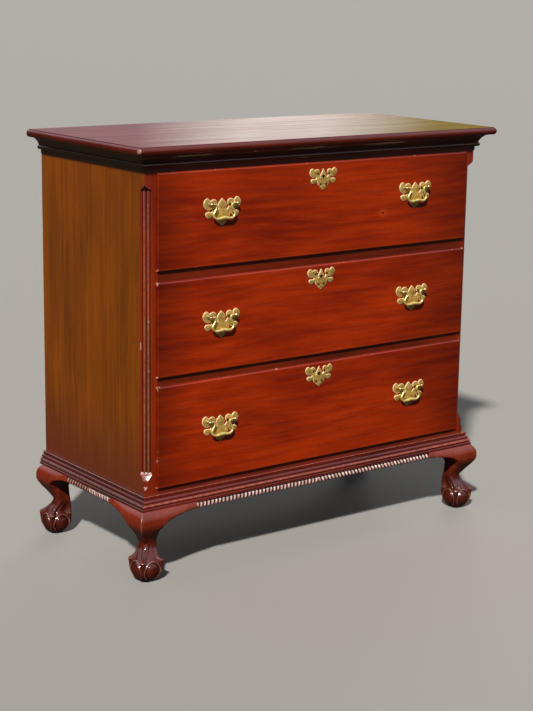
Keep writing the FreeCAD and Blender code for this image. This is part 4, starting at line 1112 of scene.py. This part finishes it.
def brass(name, dull, bright, metallic, roughness):
    """Cast and filed brass, long handled: warm yellow with faint brown tarnish that gathers in soft patches.
    A film of old lacquer scatters part of the light, so it is less than fully metallic."""
    material, tree = new_material(name)
    here = add(tree, "TexCoord", {}).outputs["Object"]
    patches = add(tree, "TexNoise", {"Vector": here, "Scale": 1000 / 7.0, "Detail": 4.0})
    tone = toned(tree, colour(dull), patches, 0.35, 0.65, bright)
    uneven = add(tree, "TexNoise", {"Vector": here, "Scale": 1000 / 2.5, "Detail": 3.0})
    dents = add(tree, "Bump", {"Height": uneven, "Strength": 0.25, "Distance": 0.0005})
    metal = add(tree, "BsdfPrincipled", {
        "Base Color": tone, "Metallic": metallic, "Roughness": roughness, "Normal": dents})
    add(tree, "OutputMaterial", {"Surface": metal})
    return material


plate_brass = brass("brass filed plate", "#AE8A42", "#D2AC5C", 0.50, 0.42)
# The rim brass is brighter than the plate: partly burnish, partly painted highlight.
rim_brass_highlight = brass("brass rim burnished and lit", "#F0DC96", "#FFF2C0", 0.50, 0.30)
bail_brass = brass("brass cast bail", "#CCAE52", "#F0DC8C", 0.60, 0.28)
post_brass = brass("brass cast post", "#84683A", "#C4A674", 0.70, 0.30)
# The walls of the piercings and keyhole get a near-black brass as painted shade.
piercing_shade_brass = brass("brass piercing painted shade", "#140D06", "#2A1D0E", 0.20, 0.60)


def hole_reach(x, z, width, bevel):
    """The piercings of a plate of that width about its own middle, each with how far its wall reaches."""
    size = width / PLATE_UNITS
    return [(x + h * a * size, z + b * size, r * size + WALL_SHARE * bevel)
            for a, b, r in PLATE_HOLES for h in (-1, 1)]


def brighten_rim(piece, holes):
    """Gives the filed bevels of a plate a brighter brass, partly burnish and partly painted highlight. The
    walls of its piercings are painted dark as the shade inside them.
    """
    second_finish(piece, rim_brass_highlight, 1, PLATE_LEVEL, 0)
    piece.data.materials.append(piercing_shade_brass)
    for face in piece.data.polygons:
        x, z = face.center.x / MM, face.center.z / MM
        in_hole = any(hypot(x - hole_x, z - hole_z) < reach for hole_x, hole_z, reach in holes)
        if face.material_index == 1 and in_hole:
            face.material_index = 2


def turned(profile, x, z, sides):
    """A turned body about a line along the drawer's depth, from radius and depth."""
    return lofted([[(x + r * c, y, z + r * s) for c, s in circle(sides)] for r, y in profile])


def bail_mesh(x, y, z):
    """A bail hanging from its two pivots: its round section thickens towards the grip."""
    whole = BAIL_HALF + tuple((-a, b, r) for a, b, r in reversed(BAIL_HALF[:-1]))
    stations = smooth_run(whole, RUN_STEPS) + [whole[-1]]
    rings = []
    for i, (a, b, r) in enumerate(stations):
        before, after = stations[max(i - 1, 0)], stations[min(i + 1, len(stations) - 1)]
        way = Vector((after[0] - before[0], 0.0, after[1] - before[1])).normalized()
        side = Vector((-way.z, 0.0, way.x))
        rings.append([Vector((x + a, y, z + b)) + side * (r * c) + Vector((0, 1, 0)) * (r * s)
                      for c, s in circle(BAIL_SIDES)])
    return lofted(rings)


key_turn = [radians(-52 - 19.7 * i) for i in range(14, -1, -1)]
keyhole = [(KEY_ROUND * cos(a), KEY_UP + KEY_ROUND * sin(a)) for a in key_turn]
keyhole += [KEY_SLOT, (-KEY_SLOT[0], KEY_SLOT[1])]
for name in DRAWERS:
    body = name + "_drawer"
    plate_low, plate_high = corners_mm(name + "_pull_plates")
    post_low, post_high = corners_mm(name + "_pull_posts")
    pivot_z = (post_low.z + post_high.z) / 2
    plates, posts, holes = [], [], []
    for side, hand in (("left", -1), ("right", 1)):
        bail = name + "_bail_" + side
        low, high = corners_mm(bail)
        x, pivot_y = (low.x + high.x) / 2, (low.y + high.y) / 2
        width = 2 * (plate_high.x - x if hand > 0 else x - plate_low.x)
        origin = plate_low.z + PLATE_FOOT * width / PLATE_UNITS
        plates.append(
            pierced_plate(plate_loops(width, PULL_LEAF), x, origin, plate_high.y, plate_low.y, PLATE_BEVEL))
        holes += hole_reach(x, origin, width, PLATE_BEVEL)
        shank = [(r, start + y) for start, part in ((post_low.y, POST_HEAD), (pivot_y, POST_EYE),
                                                    (plate_low.y, POST_COLLAR)) for r, y in part]
        shank.append((POST_SHANK, post_high.y))
        nut = [(r, post_high.y + y) for r, y in POST_NUT]
        for out in (x - POST_OUT, x + POST_OUT):
            posts += [turned(shank, out, pivot_z, POST_SIDES), turned(nut, out, pivot_z, NUT_SIDES)]
        add_piece(bail + "_cast", bail_mesh(x, pivot_y, pivot_z), bail_brass, bail, bail)
    node = name + "_pull_plates"
    brighten_rim(add_piece(node + "_filed", joined(*plates), plate_brass, body, node), holes)
    node = name + "_pull_posts"
    add_piece(node + "_cast", joined(*posts), post_brass, body, node)
    node = name + "_escutcheon"
    key_low, key_high = corners_mm(node)
    width = key_high.x - key_low.x
    scale = width / PLATE_UNITS
    key_z = key_low.z + PLATE_FOOT * scale
    key_plate = pierced_plate(
        plate_loops(width, KEY_LEAF) + [keyhole], 0.0, key_z, key_high.y, key_low.y, KEY_BEVEL)
    holes = [(0.0, key_z + up * scale, KEY_REACH) for up in (KEY_UP, 0.0, -KEY_UP)]
    brighten_rim(add_piece(node + "_filed", key_plate, plate_brass, body, node),
                holes + hole_reach(0.0, key_z, width, KEY_BEVEL))
